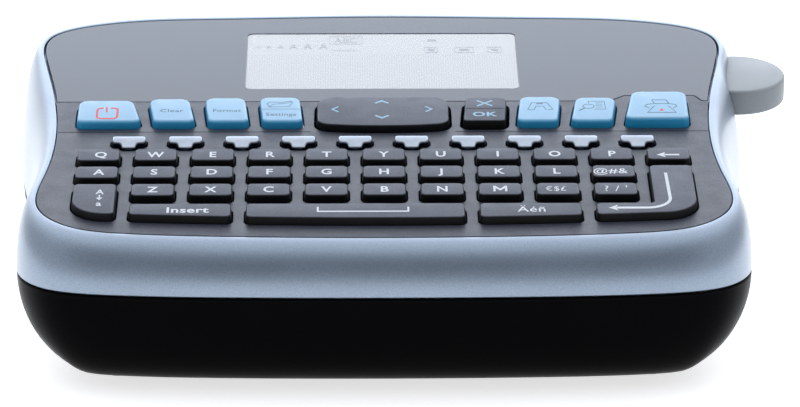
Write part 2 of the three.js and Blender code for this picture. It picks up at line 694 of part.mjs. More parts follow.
function cutterPaddle() {
  const disc = new THREE.CylinderGeometry(PADDLE.radius, PADDLE.radius, PADDLE.thickness, 40);
  disc.rotateX(Math.PI / 2).translate(0, 0, -PADDLE.thickness / 2);
  disc.rotateX(DECK_SLOPE).translate(PADDLE.x, PADDLE.y, PADDLE.top);
  const carriage = block(56, 66, RODS.front - 3, RODS.rear + 2.5, CARRIAGE_BOTTOM, CARRIAGE_TOP);
  const arm = block(60, 74, PADDLE.y - 4, PADDLE.y + 6, CARRIAGE_BOTTOM + 0.8, CARRIAGE_TOP);
  const rodHoles = [RODS.front, RODS.rear].map((y) =>
    bar("z", 20, 60, RODS.x, y, RODS.radius + GAP, 12));
  return cut(join(solid(disc), carriage, arm), ...rodHoles);
}

function cutterBlade() {
  const edge = SHAFT_Z + PLATEN.radius + 4;
  return block(64.4, 65.4, SLOT.from, SLOT.to - 1, edge, CARRIAGE_BOTTOM - GAP);
}

// A compression spring round the front guide rod.
function cutterSpring() {
  const [turns, coilRadius, wireRadius] = [6, 2.5, 0.4];
  const [low, high] = [CHASSIS.base + SHEET + 0.8, CARRIAGE_BOTTOM - 0.8];
  class Helix extends THREE.Curve {
    getPoint(t) {
      const angle = 2 * Math.PI * turns * t;
      return new THREE.Vector3(
        RODS.x + coilRadius * Math.cos(angle),
        RODS.front + coilRadius * Math.sin(angle),
        THREE.MathUtils.lerp(low, high, t),
      );
    }
  }
  const section = new THREE.Shape(
    Array.from({ length: 5 }, (_, i) => new THREE.Vector2(
      wireRadius * Math.cos(2 * Math.PI * i / 5), wireRadius * Math.sin(2 * Math.PI * i / 5),
    )),
  );
  return solid(new THREE.ExtrudeGeometry(section, { steps: turns * 10, extrudePath: new Helix() }));
}

// ---- Power and feet -----------------------------------------------------------------------

function batteryPack() {
  const { cellRadius, cellLength, rows } = BATTERY;
  const middle = (BAY.front + BAY.rear) / 2;
  const z = FLOOR_Z + COVER.thickness + 1 + cellRadius;
  const cells = Array.from({ length: rows }, (_, i) => {
    const y = middle + (i - (rows - 1) / 2) * (2 * cellRadius - 0.15);
    return [-1, 1].map((side) => bar(
      "x", side < 0 ? -cellLength : -0.1, side < 0 ? 0 : cellLength, y, z, cellRadius, 16,
    ));
  }).flat();
  return join(...cells);
}

function batteryCover() {
  return block(
    -COVER.halfWidth, COVER.halfWidth, COVER.front, COVER.rear, FLOOR_Z, FLOOR_Z + COVER.thickness,
  );
}

// The inlet: a round nose with a centre pin, on a block behind the rear wall.
function powerJack() {
  return join(
    cut(
      join(
        block(JACK.x - 5, JACK.x + 5, 54, 65.2, JACK.z - 5, JACK.z + 5),
        bar("y", 65, 68.7, JACK.x, JACK.z, JACK.radius, 12),
      ),
      bar("y", 58, 72, JACK.x, JACK.z, JACK.bore, 8),
    ),
    bar("y", 57, 67, JACK.x, JACK.z, JACK.pin, 6),
  );
}

function foot(x, y) {
  const top = FLOOR_Z + 0.7;
  const profile = [[0, 0], [FEET.radius - 1.2, 0], [FEET.radius, 1], [FEET.radius, top], [0, top]];
  const geometry = new THREE.LatheGeometry(profile.map(([r, h]) => new THREE.Vector2(r, h)), 20);
  geometry.rotateX(Math.PI / 2).translate(x, y, 0);
  return solid(geometry);
}

// ---- Assembly -----------------------------------------------------------------------------

const machine = new THREE.Group();
addPiece(machine, "bottom_shell", bottomShell(), blackPlastic);
addPiece(machine, "top_frame", topFrame(), silverPlastic);
addPiece(machine, "cassette_door", cassetteDoor(), blackPlastic);
addPiece(machine, "door_hinge_pin", hingeBarrel(HINGE.pin, 2.2), steel);
machine.add(buildDeckGroup());
addPiece(machine, "mechanism_chassis", chassis(), steel);
addPiece(machine, "platen_roller", platenRoller(), darkRubber);
addPiece(machine, "platen_gear", gear(PLATEN_TEETH, PLATEN.x, false, 1.8), whitePlastic);
addPiece(machine, "idler_gear", gear(IDLER_TEETH, IDLER_X, true, 1.8), whitePlastic);
addPiece(machine, "motor_pinion", gear(PINION_TEETH, MOTOR_X, false, 1.3), whitePlastic);
addPiece(machine, "drive_motor", driveMotor(), steel);
addPiece(machine, "print_head", printHead(), steel);
addPiece(machine, "tape_cassette", tapeCassette(), whitePlastic);
addPiece(machine, "tape_spool", tapeSpool(), labelTape);
addPiece(machine, "cutter_paddle", cutterPaddle(), leverPlastic);
addPiece(machine, "cutter_blade", cutterBlade(), steel);
addPiece(machine, "cutter_spring", cutterSpring(), steel);
for (const [end, y] of Object.entries({ front: RODS.front, rear: RODS.rear })) {
  const rod = bar("z", CHASSIS.base, PADDLE.top - 1, RODS.x, y, RODS.radius, 12);
  addPiece(machine, `guide_rod_${end}`, rod, steel);
}
addPiece(machine, "battery_pack", batteryPack(), darkRubber);
addPiece(machine, "battery_cover", batteryCover(), blackPlastic);
addPiece(machine, "power_jack", powerJack(), blackPlastic);
for (const [end, y] of Object.entries({ front: FEET.front, rear: FEET.rear })) {
  for (const [side, sign] of Object.entries({ left: -1, right: 1 })) {
    addPiece(machine, `foot_${end}_${side}`, foot(sign * FEET.x, y), darkRubber);
  }
}

// The lever sticks out on one side only, so the case stands a little left of the origin.
const box = new THREE.Box3().setFromObject(machine);
const centre = box.getCenter(new THREE.Vector3());
machine.position.set(-centre.x, -centre.y, -box.min.z);

export default machine;
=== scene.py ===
"""Looks of the label maker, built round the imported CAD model.

Lengths are in millimetres until a mesh is made. Pieces on the sloping deck are drawn in the deck's
own plane: x, distance up the slope, height above the deck.
"""

import json
import math
from collections import namedtuple

import bpy
import numpy as np
from mathutils import Matrix, Vector


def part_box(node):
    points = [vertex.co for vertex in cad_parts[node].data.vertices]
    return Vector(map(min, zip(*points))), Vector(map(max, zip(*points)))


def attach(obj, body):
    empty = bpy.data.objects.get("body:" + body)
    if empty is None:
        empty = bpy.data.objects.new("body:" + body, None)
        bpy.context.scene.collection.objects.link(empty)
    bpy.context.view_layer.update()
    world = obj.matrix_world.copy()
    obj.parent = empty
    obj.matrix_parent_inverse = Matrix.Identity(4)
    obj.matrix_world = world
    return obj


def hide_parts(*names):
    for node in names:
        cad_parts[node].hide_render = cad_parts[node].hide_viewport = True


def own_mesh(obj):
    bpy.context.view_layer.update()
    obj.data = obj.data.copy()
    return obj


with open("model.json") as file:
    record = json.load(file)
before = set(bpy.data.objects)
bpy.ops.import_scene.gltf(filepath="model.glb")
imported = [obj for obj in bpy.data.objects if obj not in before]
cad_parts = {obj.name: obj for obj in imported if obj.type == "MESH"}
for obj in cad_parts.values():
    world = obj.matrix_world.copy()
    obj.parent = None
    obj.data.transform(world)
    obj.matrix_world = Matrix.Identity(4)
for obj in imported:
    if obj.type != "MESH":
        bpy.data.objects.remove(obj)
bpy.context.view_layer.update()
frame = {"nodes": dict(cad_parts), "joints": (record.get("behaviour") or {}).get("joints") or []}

MM = 0.001
RIGHT_ANGLE = math.pi / 2

# ---- Driving dimensions -------------------------------------------------------------------

# Case outline at the seam and the opening that the deck and the panel fill: [x, y] down the
# right half, from front to rear.
CASE_HALF = [
    (0, -73.5), (34, -72.8), (57, -70.8), (71.5, -65.6), (77.4, -56), (77.6, -32), (78, -6),
    (80.8, 17), (82.5, 37), (80, 54), (68, 65), (40, 69.5), (0, 70),
]
OPENING_HALF = [
    (0, -66), (32, -65.3), (53, -63.8), (66.5, -60), (73, -52.5), (73.4, -32), (72.2, -6),
    (74.3, 17), (76.9, 34), (75.8, 50), (66, 56.5), (38, 60.3), (0, 61.5),
]
STEPS_PER_STRETCH = 12
CASE_FRONT = -73.5
WALL = 2.2
SEAM = 22.65
SEAM_GAP = 0.3
FLOOR = 2.0
FLOOR_THICKNESS = 2.4
HULL_INSET = {"side": 17, "front": 12, "rear": 8}
ROLL_POWER = 2.6
ROLL_REACH = 0.9
EDGE = 0.25

DECK_FRONT = Vector((0, -66, 33.9))
DECK_THICKNESS = 2.0
LEDGE_DEPTH = 2.3
LEDGE_WIDTH = 1.5
GROOVE_AT = 58.4
DECK_REAR = 76.1

PITCH = 12.4
KEY_WIDTH = 9.5
KEY_DEPTH = 6.8
KEY_HEIGHT = 1.7
KEY_ROOT, KEY_SKIRT = -3.2, 0.05
KEY_GAP, NUMBER_GAP, PAD_GAP, ROCKER_GAP = 0.25, 0.3, 0.45, 0.6
ROW_TOP, ROW_MIDDLE, ROW_BOTTOM, ROW_SPACE = 41.6, 31.9, 22.2, 10.9
SPACE_DEPTH = 7.6
ROW_REAR = ROW_SPACE + SPACE_DEPTH / 2
FRONT_EDGE_MIDDLE, FRONT_EDGE_OUT, FRONT_EDGE_AT = 6.6, 9.2, 60
NUMBER_FRONT, NUMBER_REAR, NUMBER_HALF, NUMBER_HEIGHT = 48.0, 53.0, 3.8, 1.4
PAD_HALF, PAD_FROM, PAD_TO, PAD_HEIGHT = 14.75, 58.0, 75.2, 1.6
WINDOW_HALF, WINDOW_FROM, WINDOW_TO = 30.9, 84.0, 118.1
LENS_TOP, LENS_BOTTOM, DISPLAY_FACE, DISPLAY_BOTTOM = -0.02, -0.1, -0.14, -5.0
LCD_COLUMN = 0.56
LCD_COLUMNS_TO = 106.0

# A key whose sides lean: x of its sides at the front and at the rear, how far up the slope it
# starts and ends, and its height.
SlantKey = namedtuple("SlantKey", "front rear low high height")
FUNCTION_KEYS = {
    "power_key": SlantKey((-67.9, -53.3), (-67.9, -55.6), 60.4, 73.1, 1.8),
    "clear_key": SlantKey((-50.9, -41.4), (-52.4, -43.1), 60.4, 74.0, 1.8),
    "format_key": SlantKey((-38.8, -29.5), (-39.9, -30.6), 60.4, 74.5, 1.8),
    "settings_key": SlantKey((-26.8, -17.6), (-27.7, -18.4), 60.4, 74.8, 1.8),
    "save_key": SlantKey((29.5, 38.8), (30.6, 39.9), 60.4, 74.8, 1.8),
    "preview_key": SlantKey((41.4, 50.9), (43.1, 52.4), 60.4, 74.3, 1.8),
    "print_key": SlantKey((53.4, 67.9), (55.7, 68.1), 60.4, 76.6, 2.3),
}
ROCKER = SlantKey((17.6, 27.2), (18.4, 27.8), 60.0, 74.0, 1.9)

# The hollow round the cutting lever: its middle, how far it reaches along y and z, its depth.
SCOOP_Y, SCOOP_Z, SCOOP_HALF_Y, SCOOP_HALF_Z, SCOOP_DEPTH = 35.5, 40.5, 17.0, 15.0, 1.5
SCOOP_FROM_X = 60
DOOR_LEFT, DOOR_RIGHT, DOOR_BOTTOM, DOOR_TOP, DOOR_GAP = -18, 48, 8, 43, 0.4
HINGE_Y, HINGE_RADIUS, HINGE_RIGHT, PIN_RADIUS = 66.3, 1.4, 40, 0.7
HINGE_LUG = 3.4
LEVER_X, LEVER_Y, LEVER_TOP, LEVER_RADIUS, LEVER_THICKNESS = 81.2, 35, 46.2, 11.2, 6
LEVER_TRAVEL, LEVER_ROOM = 4.5, 0.6
SLOT_FRONT, SLOT_REAR, SLOT_BOTTOM, SLOT_TOP = 34, 60, 26, 31
INLET_X, INLET_Z, INLET_RADIUS = -45, 30, 4
REAR_WALL, REAR_REACH = 60, 75
COVER_HALF, COVER_FRONT, COVER_REAR, COVER_THICKNESS, COVER_GAP = 51, -49, -7, 2, 0.3
BAY_HALF, BAY_FRONT, BAY_REAR, BAY_TOP, BAY_WALL = 52.6, -50.4, -5.6, 21.4, 1.6
FOOT_X, FOOT_FRONT, FOOT_REAR, FOOT_RADIUS = 57, -50, 48, 4
ROD_X, ROD_FRONT, ROD_REAR, ROD_BORE = 59, 31.5, 57, 1.8

# Lettering: how far print stands above its key, the font's capital height at size 1, and the
# area in square metres under which a filled triangle is thrown away.
PRINT_LIFT = 0.02
CAPITAL_HEIGHT = 0.72
SLIVER_AREA = 1e-11
LEGEND_Z = KEY_HEIGHT + PRINT_LIFT
SMOOTH_ANGLE = math.radians(35)

# ---- Where things stand, from the frame ---------------------------------------------------


def joint_named(name):
    return next(joint for joint in frame["joints"] if joint["name"] == name)


frame_low, frame_high = (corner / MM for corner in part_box("top_frame"))
CASE_ORIGIN = Vector(((frame_low.x + frame_high.x) / 2, frame_low.y - CASE_FRONT, 0))
press = joint_named("space_bar_press")["axis"]
SLOPE = math.atan2(press[1], -press[2])
IN_CASE = Matrix.Translation(CASE_ORIGIN)
IN_DECK = Matrix.Translation(CASE_ORIGIN + DECK_FRONT) @ Matrix.Rotation(SLOPE, 4, "X")
DECK_UP = (0, -math.sin(SLOPE), math.cos(SLOPE))


def deck_z(y):
    """Height of the deck's plane over the point y of the case."""
    return DECK_FRONT.z + (y - DECK_FRONT.y) * math.tan(SLOPE)


def up_slope(y):
    """Distance up the deck's slope of the point y of the case."""
    return (y - DECK_FRONT.y) / math.cos(SLOPE)


def in_case(x, y, z, angle, axis="X"):
    """A place in the case, turned by the angle about an axis through it."""
    return IN_CASE @ Matrix.Translation((x, y, z)) @ Matrix.Rotation(angle, 4, axis)


# ---- Outlines -----------------------------------------------------------------------------


def mirrored(half):
    """The whole outline from its right half."""
    return list(half) + [(-x, y) for x, y in reversed(half[1:-1])]


def smooth_closed(points, steps):
    """A closed cubic spline of even curvature through the points, so many steps to a stretch."""
    knots = np.array(points, float)
    count = len(knots)
    chord = np.linalg.norm(np.roll(knots, -1, axis=0) - knots, axis=1)
    rows = np.zeros((count, count))
    right = np.zeros((count, 2))
    for i in range(count):
        before, after, last = chord[i - 1], chord[i], (i + 1) % count
        rows[i, i - 1] += after
        rows[i, i] += 2 * (before + after)
        rows[i, last] += before
        arriving = (knots[i] - knots[i - 1]) * after / before
        leaving = (knots[last] - knots[i]) * before / after
        right[i] = 3 * (arriving + leaving)
    tangents = np.linalg.solve(rows, right)
    outline = []
    for i in range(count):
        last = (i + 1) % count
        for step in range(steps):
            t = step / steps
            point = (
                (2 * t**3 - 3 * t**2 + 1) * knots[i]
                + (t**3 - 2 * t**2 + t) * chord[i] * tangents[i]
                + (3 * t**2 - 2 * t**3) * knots[last]
                + (t**3 - t**2) * chord[i] * tangents[last]
            )
            outline.append(tuple(point))
    return outline


def corner_normal(outline, i):
    """The mitred outward normal at a corner of an anticlockwise outline."""
    here = Vector(outline[i])
    before = (here - Vector(outline[i - 1])).normalized()
    after = (Vector(outline[(i + 1) % len(outline)]) - here).normalized()
    bisector = Vector((before.y + after.y, -before.x - after.x)).normalized()
    return bisector / max(0.5, bisector.x * after.y - bisector.y * after.x)


def offset(outline, distance):
    """The outline moved outwards, or inwards where the distance is negative."""
    moved = []
    for i, (x, y) in enumerate(outline):
        normal = corner_normal(outline, i)
        reach = distance(normal) if callable(distance) else distance
        moved.append((x + normal.x * reach, y + normal.y * reach))
    return moved


def rounded(corners, radius, steps=6):
    """A polygon with its corners turned into arcs. A corner may carry its own radius."""
    outline = []
    for i, corner in enumerate(corners):
        here = Vector(corner[:2])
        size = corner[2] if len(corner) > 2 else radius
        if size == 0:
            outline.append(tuple(here))
            continue
        to_last = Vector(corners[i - 1][:2]) - here
        to_next = Vector(corners[(i + 1) % len(corners)][:2]) - here
        half_angle = to_last.angle(to_next) / 2
        room = 0.98 * min(to_last.length, to_next.length)
        reach = min(size / math.tan(half_angle), room)
        start = here + to_last.normalized() * reach
        end = here + to_next.normalized() * reach
        for step in range(steps + 1):
            t = step / steps
            outline.append(tuple(round_corner(start, here, end, half_angle, t)))
    return outline


def round_corner(start, corner, end, half_angle, t):
    """A point of the circular arc that touches both sides of a corner at start and end."""
    weight = math.sin(half_angle)
    a, b, c = (1 - t) ** 2, 2 * t * (1 - t) * weight, t**2
    return (start * a + corner * b + end * c) / (a + b + c)


def rectangle(x0, x1, y0, y1):
    return [(x0, y0), (x1, y0), (x1, y1), (x0, y1)]


def circle(x, y, radius, steps=24):
    turns = [2 * math.pi * i / steps for i in range(steps)]
    return [(x + radius * math.cos(turn), y + radius * math.sin(turn)) for turn in turns]


def at_height(outline, z):
    return [(x, y, z) for x, y in outline]


def quarter(steps):
    """The angles of a quarter turn, from 0 to a right angle."""
    return [RIGHT_ANGLE * step / steps for step in range(steps + 1)]


# ---- Pieces -------------------------------------------------------------------------------


class Piece:
    """A mesh in the making. Its points are in millimetres, and each face has a paint number."""

    def __init__(self):
        self.points = []
        self.faces = []
        self.paints = []

    def add(self, points, faces, paint=0):
        start = len(self.points)
        self.points += [tuple(point) for point in points]
        self.faces += [[start + i for i in face] for face in faces]
        self.paints += [paint] * len(faces)

    def skin(self, rings, paint=0, closed=False, capped=True):
        """A surface over rings of as many points each, listed from the bottom up."""
        count, levels = len(rings[0]), len(rings)
        faces = []
        for level in range(levels if closed else levels - 1):
            low, high = level * count, ((level + 1) % levels) * count
            for i in range(count):
                after = (i + 1) % count
                faces.append([low + i, low + after, high + after, high + i])
        if capped and not closed:
            faces.append(list(reversed(range(count))))
            faces.append([(levels - 1) * count + i for i in range(count)])
        self.add([point for ring in rings for point in ring], faces, paint)

    def flat(self, outlines, z, paint=0):
        """A flat face at one height, inside the first outline and outside the others."""
        mesh = filled(outlines)
        points = [(v.co.x / MM, v.co.y / MM, z) for v in mesh.vertices]
        faces = [list(face.vertices) for face in mesh.polygons if face.area > SLIVER_AREA]
        self.add(points, [upward(points, face) for face in faces], paint)
        bpy.data.meshes.remove(mesh)

    def ribbon(self, path, width, z, paint=0, closed=False, tall=1.6):
        """A flat stroke along a path. Strokes are drawn tall, to be read at a low angle."""
        left, right = [], []
        last = len(path) - 1
        for i, point in enumerate(path):
            here = Vector(point)
            before = Vector(path[i - 1]) if i or closed else None
            after = Vector(path[(i + 1) % len(path)]) if i < last or closed else None
            side = stroke_side(before, here, after) * width / 2
            side.y *= tall
            left.append((here.x + side.x, here.y + side.y, z))
            right.append((here.x - side.x, here.y - side.y, z))
        count = len(path)
        stretches = count if closed else count - 1
        faces = [
            [i, (i + 1) % count, count + (i + 1) % count, count + i] for i in range(stretches)
        ]
        points = left + right
        self.add(points, [upward(points, face) for face in faces], paint)

    def text(self, words, x, y, z, size, paint=0, stretch=1.0, weight=0.026):
        """Lettering as flat shapes. Size is the height of a capital letter."""
        font = bpy.data.curves.new("lettering", "FONT")
        font.body = words
        font.size = 1
        font.align_x = "CENTER"
        font.align_y = "BOTTOM_BASELINE"
        font.offset = weight
        font.space_character = 1.06
        font.resolution_u = 3
        holder = bpy.data.objects.new("lettering", font)
        mesh = bpy.data.meshes.new_from_object(holder)
        scale = size / CAPITAL_HEIGHT
        points = [
            (x + v.co.x * scale * stretch, y - size / 2 + v.co.y * scale, z)
            for v in mesh.vertices
        ]
        self.add(points, [upward(points, list(face.vertices)) for face in mesh.polygons], paint)
        bpy.data.objects.remove(holder)
        bpy.data.curves.remove(font)
        bpy.data.meshes.remove(mesh)

    def make(self, name, place, paints, smooth=SMOOTH_ANGLE):
        """The piece as a Blender object, in metres, with one material for each paint number."""
        mesh = bpy.data.meshes.new(name)
        mesh.from_pydata([tuple(Vector(point) * MM) for point in self.points], [], self.faces)
        mesh.transform(metres(place))
        for paint in paints:
            mesh.materials.append(paint)
        mesh.polygons.foreach_set("material_index", self.paints)
        mesh.validate()
        mesh.shade_smooth()
        mesh.set_sharp_from_angle(angle=smooth)
        thing = bpy.data.objects.new(name, mesh)
        bpy.context.scene.collection.objects.link(thing)
        return thing


def metres(place):
    """A placement in millimetres as one in metres."""
    matrix = place.copy()
    matrix.translation = place.translation * MM
    return matrix


def stroke_side(before, here, after):
    """The mitred direction across a stroke at one of its points."""
    arriving = (here - before).normalized() if before is not None else None
    leaving = (after - here).normalized() if after is not None else None
    first = arriving if arriving is not None else leaving
    second = leaving if leaving is not None else arriving
    along = (first + second).normalized()
    across = Vector((-along.y, along.x))
    return across / max(0.4, abs(along.dot(first)))


def upward(points, face):
    """The face's corners in the order that makes it face up."""
    area = 0
    for i, corner in enumerate(face):
        x0, y0 = points[face[i - 1]][:2]
        x1, y1 = points[corner][:2]
        area += x0 * y1 - x1 * y0
    return face if area > 0 else face[::-1]


def filled(outlines):
    """A flat mesh in metres inside the first outline and outside the others."""
    curve = bpy.data.curves.new("outline", "CURVE")
    curve.dimensions = "2D"
    curve.fill_mode = "BOTH"
    for outline in outlines:
        spline = curve.splines.new("POLY")
        spline.points.add(len(outline) - 1)
        for point, (x, y) in zip(spline.points, outline):
            point.co = (x * MM, y * MM, 0, 1)
        spline.use_cyclic_u = True
    holder = bpy.data.objects.new("outline", curve)
    mesh = bpy.data.meshes.new_from_object(holder)
    bpy.data.objects.remove(holder)
    bpy.data.curves.remove(curve)
    return mesh


def trim(thing, others, operation="DIFFERENCE"):
    """Cuts a piece with others, which are then thrown away."""
    for other in others:
        modifier = thing.modifiers.new("trim", "BOOLEAN")
        modifier.operation = operation
        modifier.solver = "EXACT"
        modifier.object = other
    evaluated = thing.evaluated_get(bpy.context.evaluated_depsgraph_get())
    mesh = bpy.data.meshes.new_from_object(evaluated)
    thing.modifiers.clear()
    old = thing.data
    thing.data = mesh
    bpy.data.meshes.remove(old)
    for other in others:
        bpy.data.objects.remove(other)
    mesh.set_sharp_from_angle(angle=SMOOTH_ANGLE)
    return thing


def place_piece(thing, body, slot, *nodes):
    """Puts a piece on its body, in place of its CAD nodes if it has any."""
    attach(thing, body)
    if nodes:
        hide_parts(*nodes)


def cutter(outline, low, high, place):
    """A plain prism to cut with."""
    prism = Piece()
    prism.skin([at_height(outline, low), at_height(outline, high)])
    return prism.make("cutter", place, [])


def plate(piece, outlines, low, high, edge):
    """A flat plate with holes, whose upper edges are rounded."""
    outer, holes = outlines[0], outlines[1:]
    for outline, inward in [(outer, -1)] + [(hole, 1) for hole in holes]:
        rings = [at_height(outline, low)]
        for angle in quarter(3):
            shift = inward * edge * (1 - math.cos(angle))
            rings.append(at_height(offset(outline, shift), high - edge + edge * math.sin(angle)))
        piece.skin(rings if inward < 0 else rings[::-1], capped=False)
    piece.flat([offset(outer, -edge)] + [offset(hole, edge) for hole in holes], high)


# ---- Materials ----------------------------------------------------------------------------


class Finish:
    """One procedural material: a shader and the nodes that feed it."""

    def __init__(self, name, **sockets):
        self.material = bpy.data.materials.new(name)
        self.material.use_nodes = True
        self.tree = self.material.node_tree
        self.shader = self.tree.nodes["Principled BSDF"]
        for socket, value in sockets.items():
            self.shader.inputs[socket.replace("_", " ")].default_value = value
        self.place = self.node("ShaderNodeTexCoord").outputs["Object"]
        self.relief = None

    def node(self, kind, **values):
        made = self.tree.nodes.new(kind)
        for name, value in values.items():
            setattr(made, name, value)
        return made

    def join(self, source, target):
        self.tree.links.new(source, target)

    def noise(self, size, detail=2.0, stretch=(1, 1, 1), seed=0.0):
        """Even noise from 0 to 1 whose grains have the given size in millimetres."""
        mapping = self.node("ShaderNodeMapping")
        mapping.inputs["Scale"].default_value = stretch
        mapping.inputs["Location"].default_value = (seed, seed, seed)
        self.join(self.place, mapping.inputs["Vector"])
        noise = self.node("ShaderNodeTexNoise")
        noise.inputs["Scale"].default_value = 1 / (size * MM)
        noise.inputs["Detail"].default_value = detail
        self.join(mapping.outputs["Vector"], noise.inputs["Vector"])
        return noise.outputs["Fac"]

    def spread(self, source, low, high, from_low=0.3, from_high=0.7):
        """The source stretched from its own range to a new one."""
        spread = self.node("ShaderNodeMapRange")
        spread.inputs["From Min"].default_value = from_low
        spread.inputs["From Max"].default_value = from_high
        spread.inputs["To Min"].default_value = low
        spread.inputs["To Max"].default_value = high
        self.join(source, spread.inputs["Value"])
        return spread.outputs["Result"]

    def feed(self, source, socket):
        """Sets a socket to an output, a colour or a number."""
        if isinstance(source, bpy.types.NodeSocket):
            self.join(source, socket)
        else:
            socket.default_value = (*source, 1) if isinstance(source, tuple) else source

    def mix(self, amount, first, second):
        """Two colours mixed. Each is a colour or an output."""
        mix = self.node("ShaderNodeMix", data_type="RGBA")
        for socket, source in (("Factor", amount), ("A", first), ("B", second)):
            self.feed(source, mix.inputs[socket])
        return mix.outputs["Result"]

    def tones(self, source, dark, pale):
        """A colour that runs from dark to pale with a noise."""
        return self.mix(self.spread(source, 0, 1), dark, pale)

    def maths(self, operation, *values):
        """A number worked out from outputs and plain numbers."""
        node = self.node("ShaderNodeMath", operation=operation)
        for value, socket in zip(values, node.inputs):
            self.feed(value, socket)
        return node.outputs["Value"]

    def along(self, axis):
        """The distance along an axis of the object, in metres."""
        apart = self.node("ShaderNodeSeparateXYZ")
        self.join(self.place, apart.inputs["Vector"])
        return apart.outputs[axis]

    def stripes(self, distance, pitch):
        """A wave from -1 to 1 that repeats at the pitch, in millimetres."""
        return self.maths("SINE", self.maths("MULTIPLY", distance, 2 * math.pi / (pitch * MM)))

    def colour(self, source):
        self.feed(source, self.shader.inputs["Base Color"])

    def roughness(self, source, low, high):
        self.join(self.spread(source, low, high), self.shader.inputs["Roughness"])

    def bump(self, source, height, strength=1.0):
        """Relief of the given height in millimetres, on top of any relief so far."""
        bump = self.node("ShaderNodeBump")
        bump.inputs["Strength"].default_value = strength
        bump.inputs["Distance"].default_value = height * MM
        self.join(source, bump.inputs["Height"])
        if self.relief is not None:
            self.join(self.relief, bump.inputs["Normal"])
        self.relief = bump.outputs["Normal"]
        self.join(self.relief, self.shader.inputs["Normal"])

    def worn_edges(self, start=0.53, end=0.62):
        """From 0 on flat stretches to 1 on sharp outer edges."""
        pointiness = self.node("ShaderNodeNewGeometry").outputs["Pointiness"]
        return self.spread(pointiness, 0, 1, start, end)

    def facing_up(self, low, high):
        """From 0 to 1 as the surface turns towards the deck's upward direction. The key, plating and
        lever finishes paint shade with it.
        """
        normal = self.node("ShaderNodeNewGeometry").outputs["Normal"]
        product = self.node("ShaderNodeVectorMath", operation="DOT_PRODUCT")
        product.inputs[1].default_value = DECK_UP
        self.join(normal, product.inputs[0])
        return self.spread(product.outputs["Value"], 0, 1, low, high)


def shade(colour, factor):
    return tuple(channel * factor for channel in colour)


def plastic(name, colour, roughness, grain, relief, mottle=0.08, worn=None, **sockets):
    """Moulded plastic: a fine grain, slow changes of colour and gloss, and paler worn edges."""
    made = Finish(name, **sockets)
    slow = made.spread(made.noise(14, detail=3), 0, 1, 0.35, 0.65)
    fine = made.noise(grain, detail=2)
    dark, pale = shade(colour, 1 - mottle), shade(colour, 1 + mottle)
    result = made.mix(0.5, made.mix(slow, dark, pale), made.tones(fine, dark, pale))
    if worn is not None:
        result = made.mix(made.worn_edges(), result, worn)
    made.colour(result)
    made.roughness(made.noise(5, detail=4, seed=3), roughness - 0.05, roughness + 0.05)
    made.bump(fine, relief)
    return made.material


def silver_paint():
    colour = (0.275, 0.34, 0.43)
    made = Finish("silver_paint", Metallic=0.9, Coat_Weight=0.8, Coat_Roughness=0.3)
    flakes = made.noise(0.22, detail=1)
    tone = made.tones(flakes, shade(colour, 0.86), shade(colour, 1.12))
    made.colour(made.mix(made.worn_edges(0.56, 0.7), tone, shade(colour, 1.25)))
    made.roughness(made.noise(18, detail=2), 0.38, 0.44)
    made.bump(flakes, 0.012, 0.5)
    made.bump(made.noise(2.5, detail=1, seed=5), 0.02, 0.15)
    return made.material


def deck_plastic():
    colour = (0.040, 0.046, 0.070)
    made = Finish("deck_plastic", Specular_IOR_Level=0.55)
    grain = made.noise(0.35, detail=3)
    patches = made.spread(made.noise(20, detail=3), 0, 0.3)
    tone = made.tones(grain, shade(colour, 0.5), shade(colour, 1.5))
    made.colour(made.mix(patches, tone, shade(colour, 1.12)))
    made.roughness(made.noise(4, detail=4, seed=2), 0.36, 0.46)
    made.bump(grain, 0.06, 0.6)
    return made.material


def panel_plastic():
    colour = (0.018, 0.028, 0.052)
    made = Finish("panel_plastic", Specular_IOR_Level=0.5)
    dust = made.spread(made.noise(0.5, detail=0, seed=7), 0, 0.5, 0.74, 0.8)
    tone = made.tones(made.noise(30, detail=2), shade(colour, 0.97), shade(colour, 1.03))
    made.colour(made.mix(dust, tone, shade(colour, 2.2)))
    made.roughness(made.noise(6, detail=4, seed=4), 0.14, 0.2)
    made.bump(made.noise(3, detail=2), 0.003, 0.3)
    return made.material


def key_plastic():
    """Charcoal on top, black down the walls. The soft darkening over the rounded upper edge is
    painted shade, and the paler sharp edges are partly wear and partly a painted highlight.
    """
    made = Finish("key_plastic", Specular_IOR_Level=0.25)
    grain = made.noise(0.3, detail=2)
    top = made.tones(grain, (0.098, 0.105, 0.137), (0.144, 0.154, 0.200))
    # Paler along the sharp edges: wear, and a painted highlight on the bevel.
    worn = made.mix(made.worn_edges(0.55, 0.68), top, (0.17, 0.18, 0.22))
    # Black walls under a charcoal top; the ramp across the rounded upper edge is painted shade.
    made.colour(made.mix(made.facing_up(0.5, 0.98), (0.0012, 0.0012, 0.0016), worn))
    made.roughness(made.noise(4, detail=3, seed=1), 0.42, 0.52)
    made.bump(grain, 0.03, 0.5)
    return made.material


def blue_plastic():
    """Light blue, turning deep and saturated down the walls: painted shade that follows how far each
    face turns from the deck's up direction.
    """
    made = Finish("blue_plastic", Specular_IOR_Level=0.35, Coat_Weight=0.1, Coat_Roughness=0.25)
    top = made.tones(made.noise(7, detail=3), (0.35, 0.63, 0.89), (0.38, 0.66, 0.92))
    # Painted shade: deeper, darker blue the further a wall turns from the deck's up direction.
    wall = made.mix(made.facing_up(-0.05, 0.7), (0.0, 0.31, 0.60), (0.12, 0.49, 0.80))
    made.colour(made.mix(made.facing_up(0.5, 1.0), wall, top))
    made.roughness(made.noise(3, detail=3, seed=1), 0.32, 0.42)
    made.bump(made.noise(0.3, detail=1), 0.01, 0.3)
    return made.material


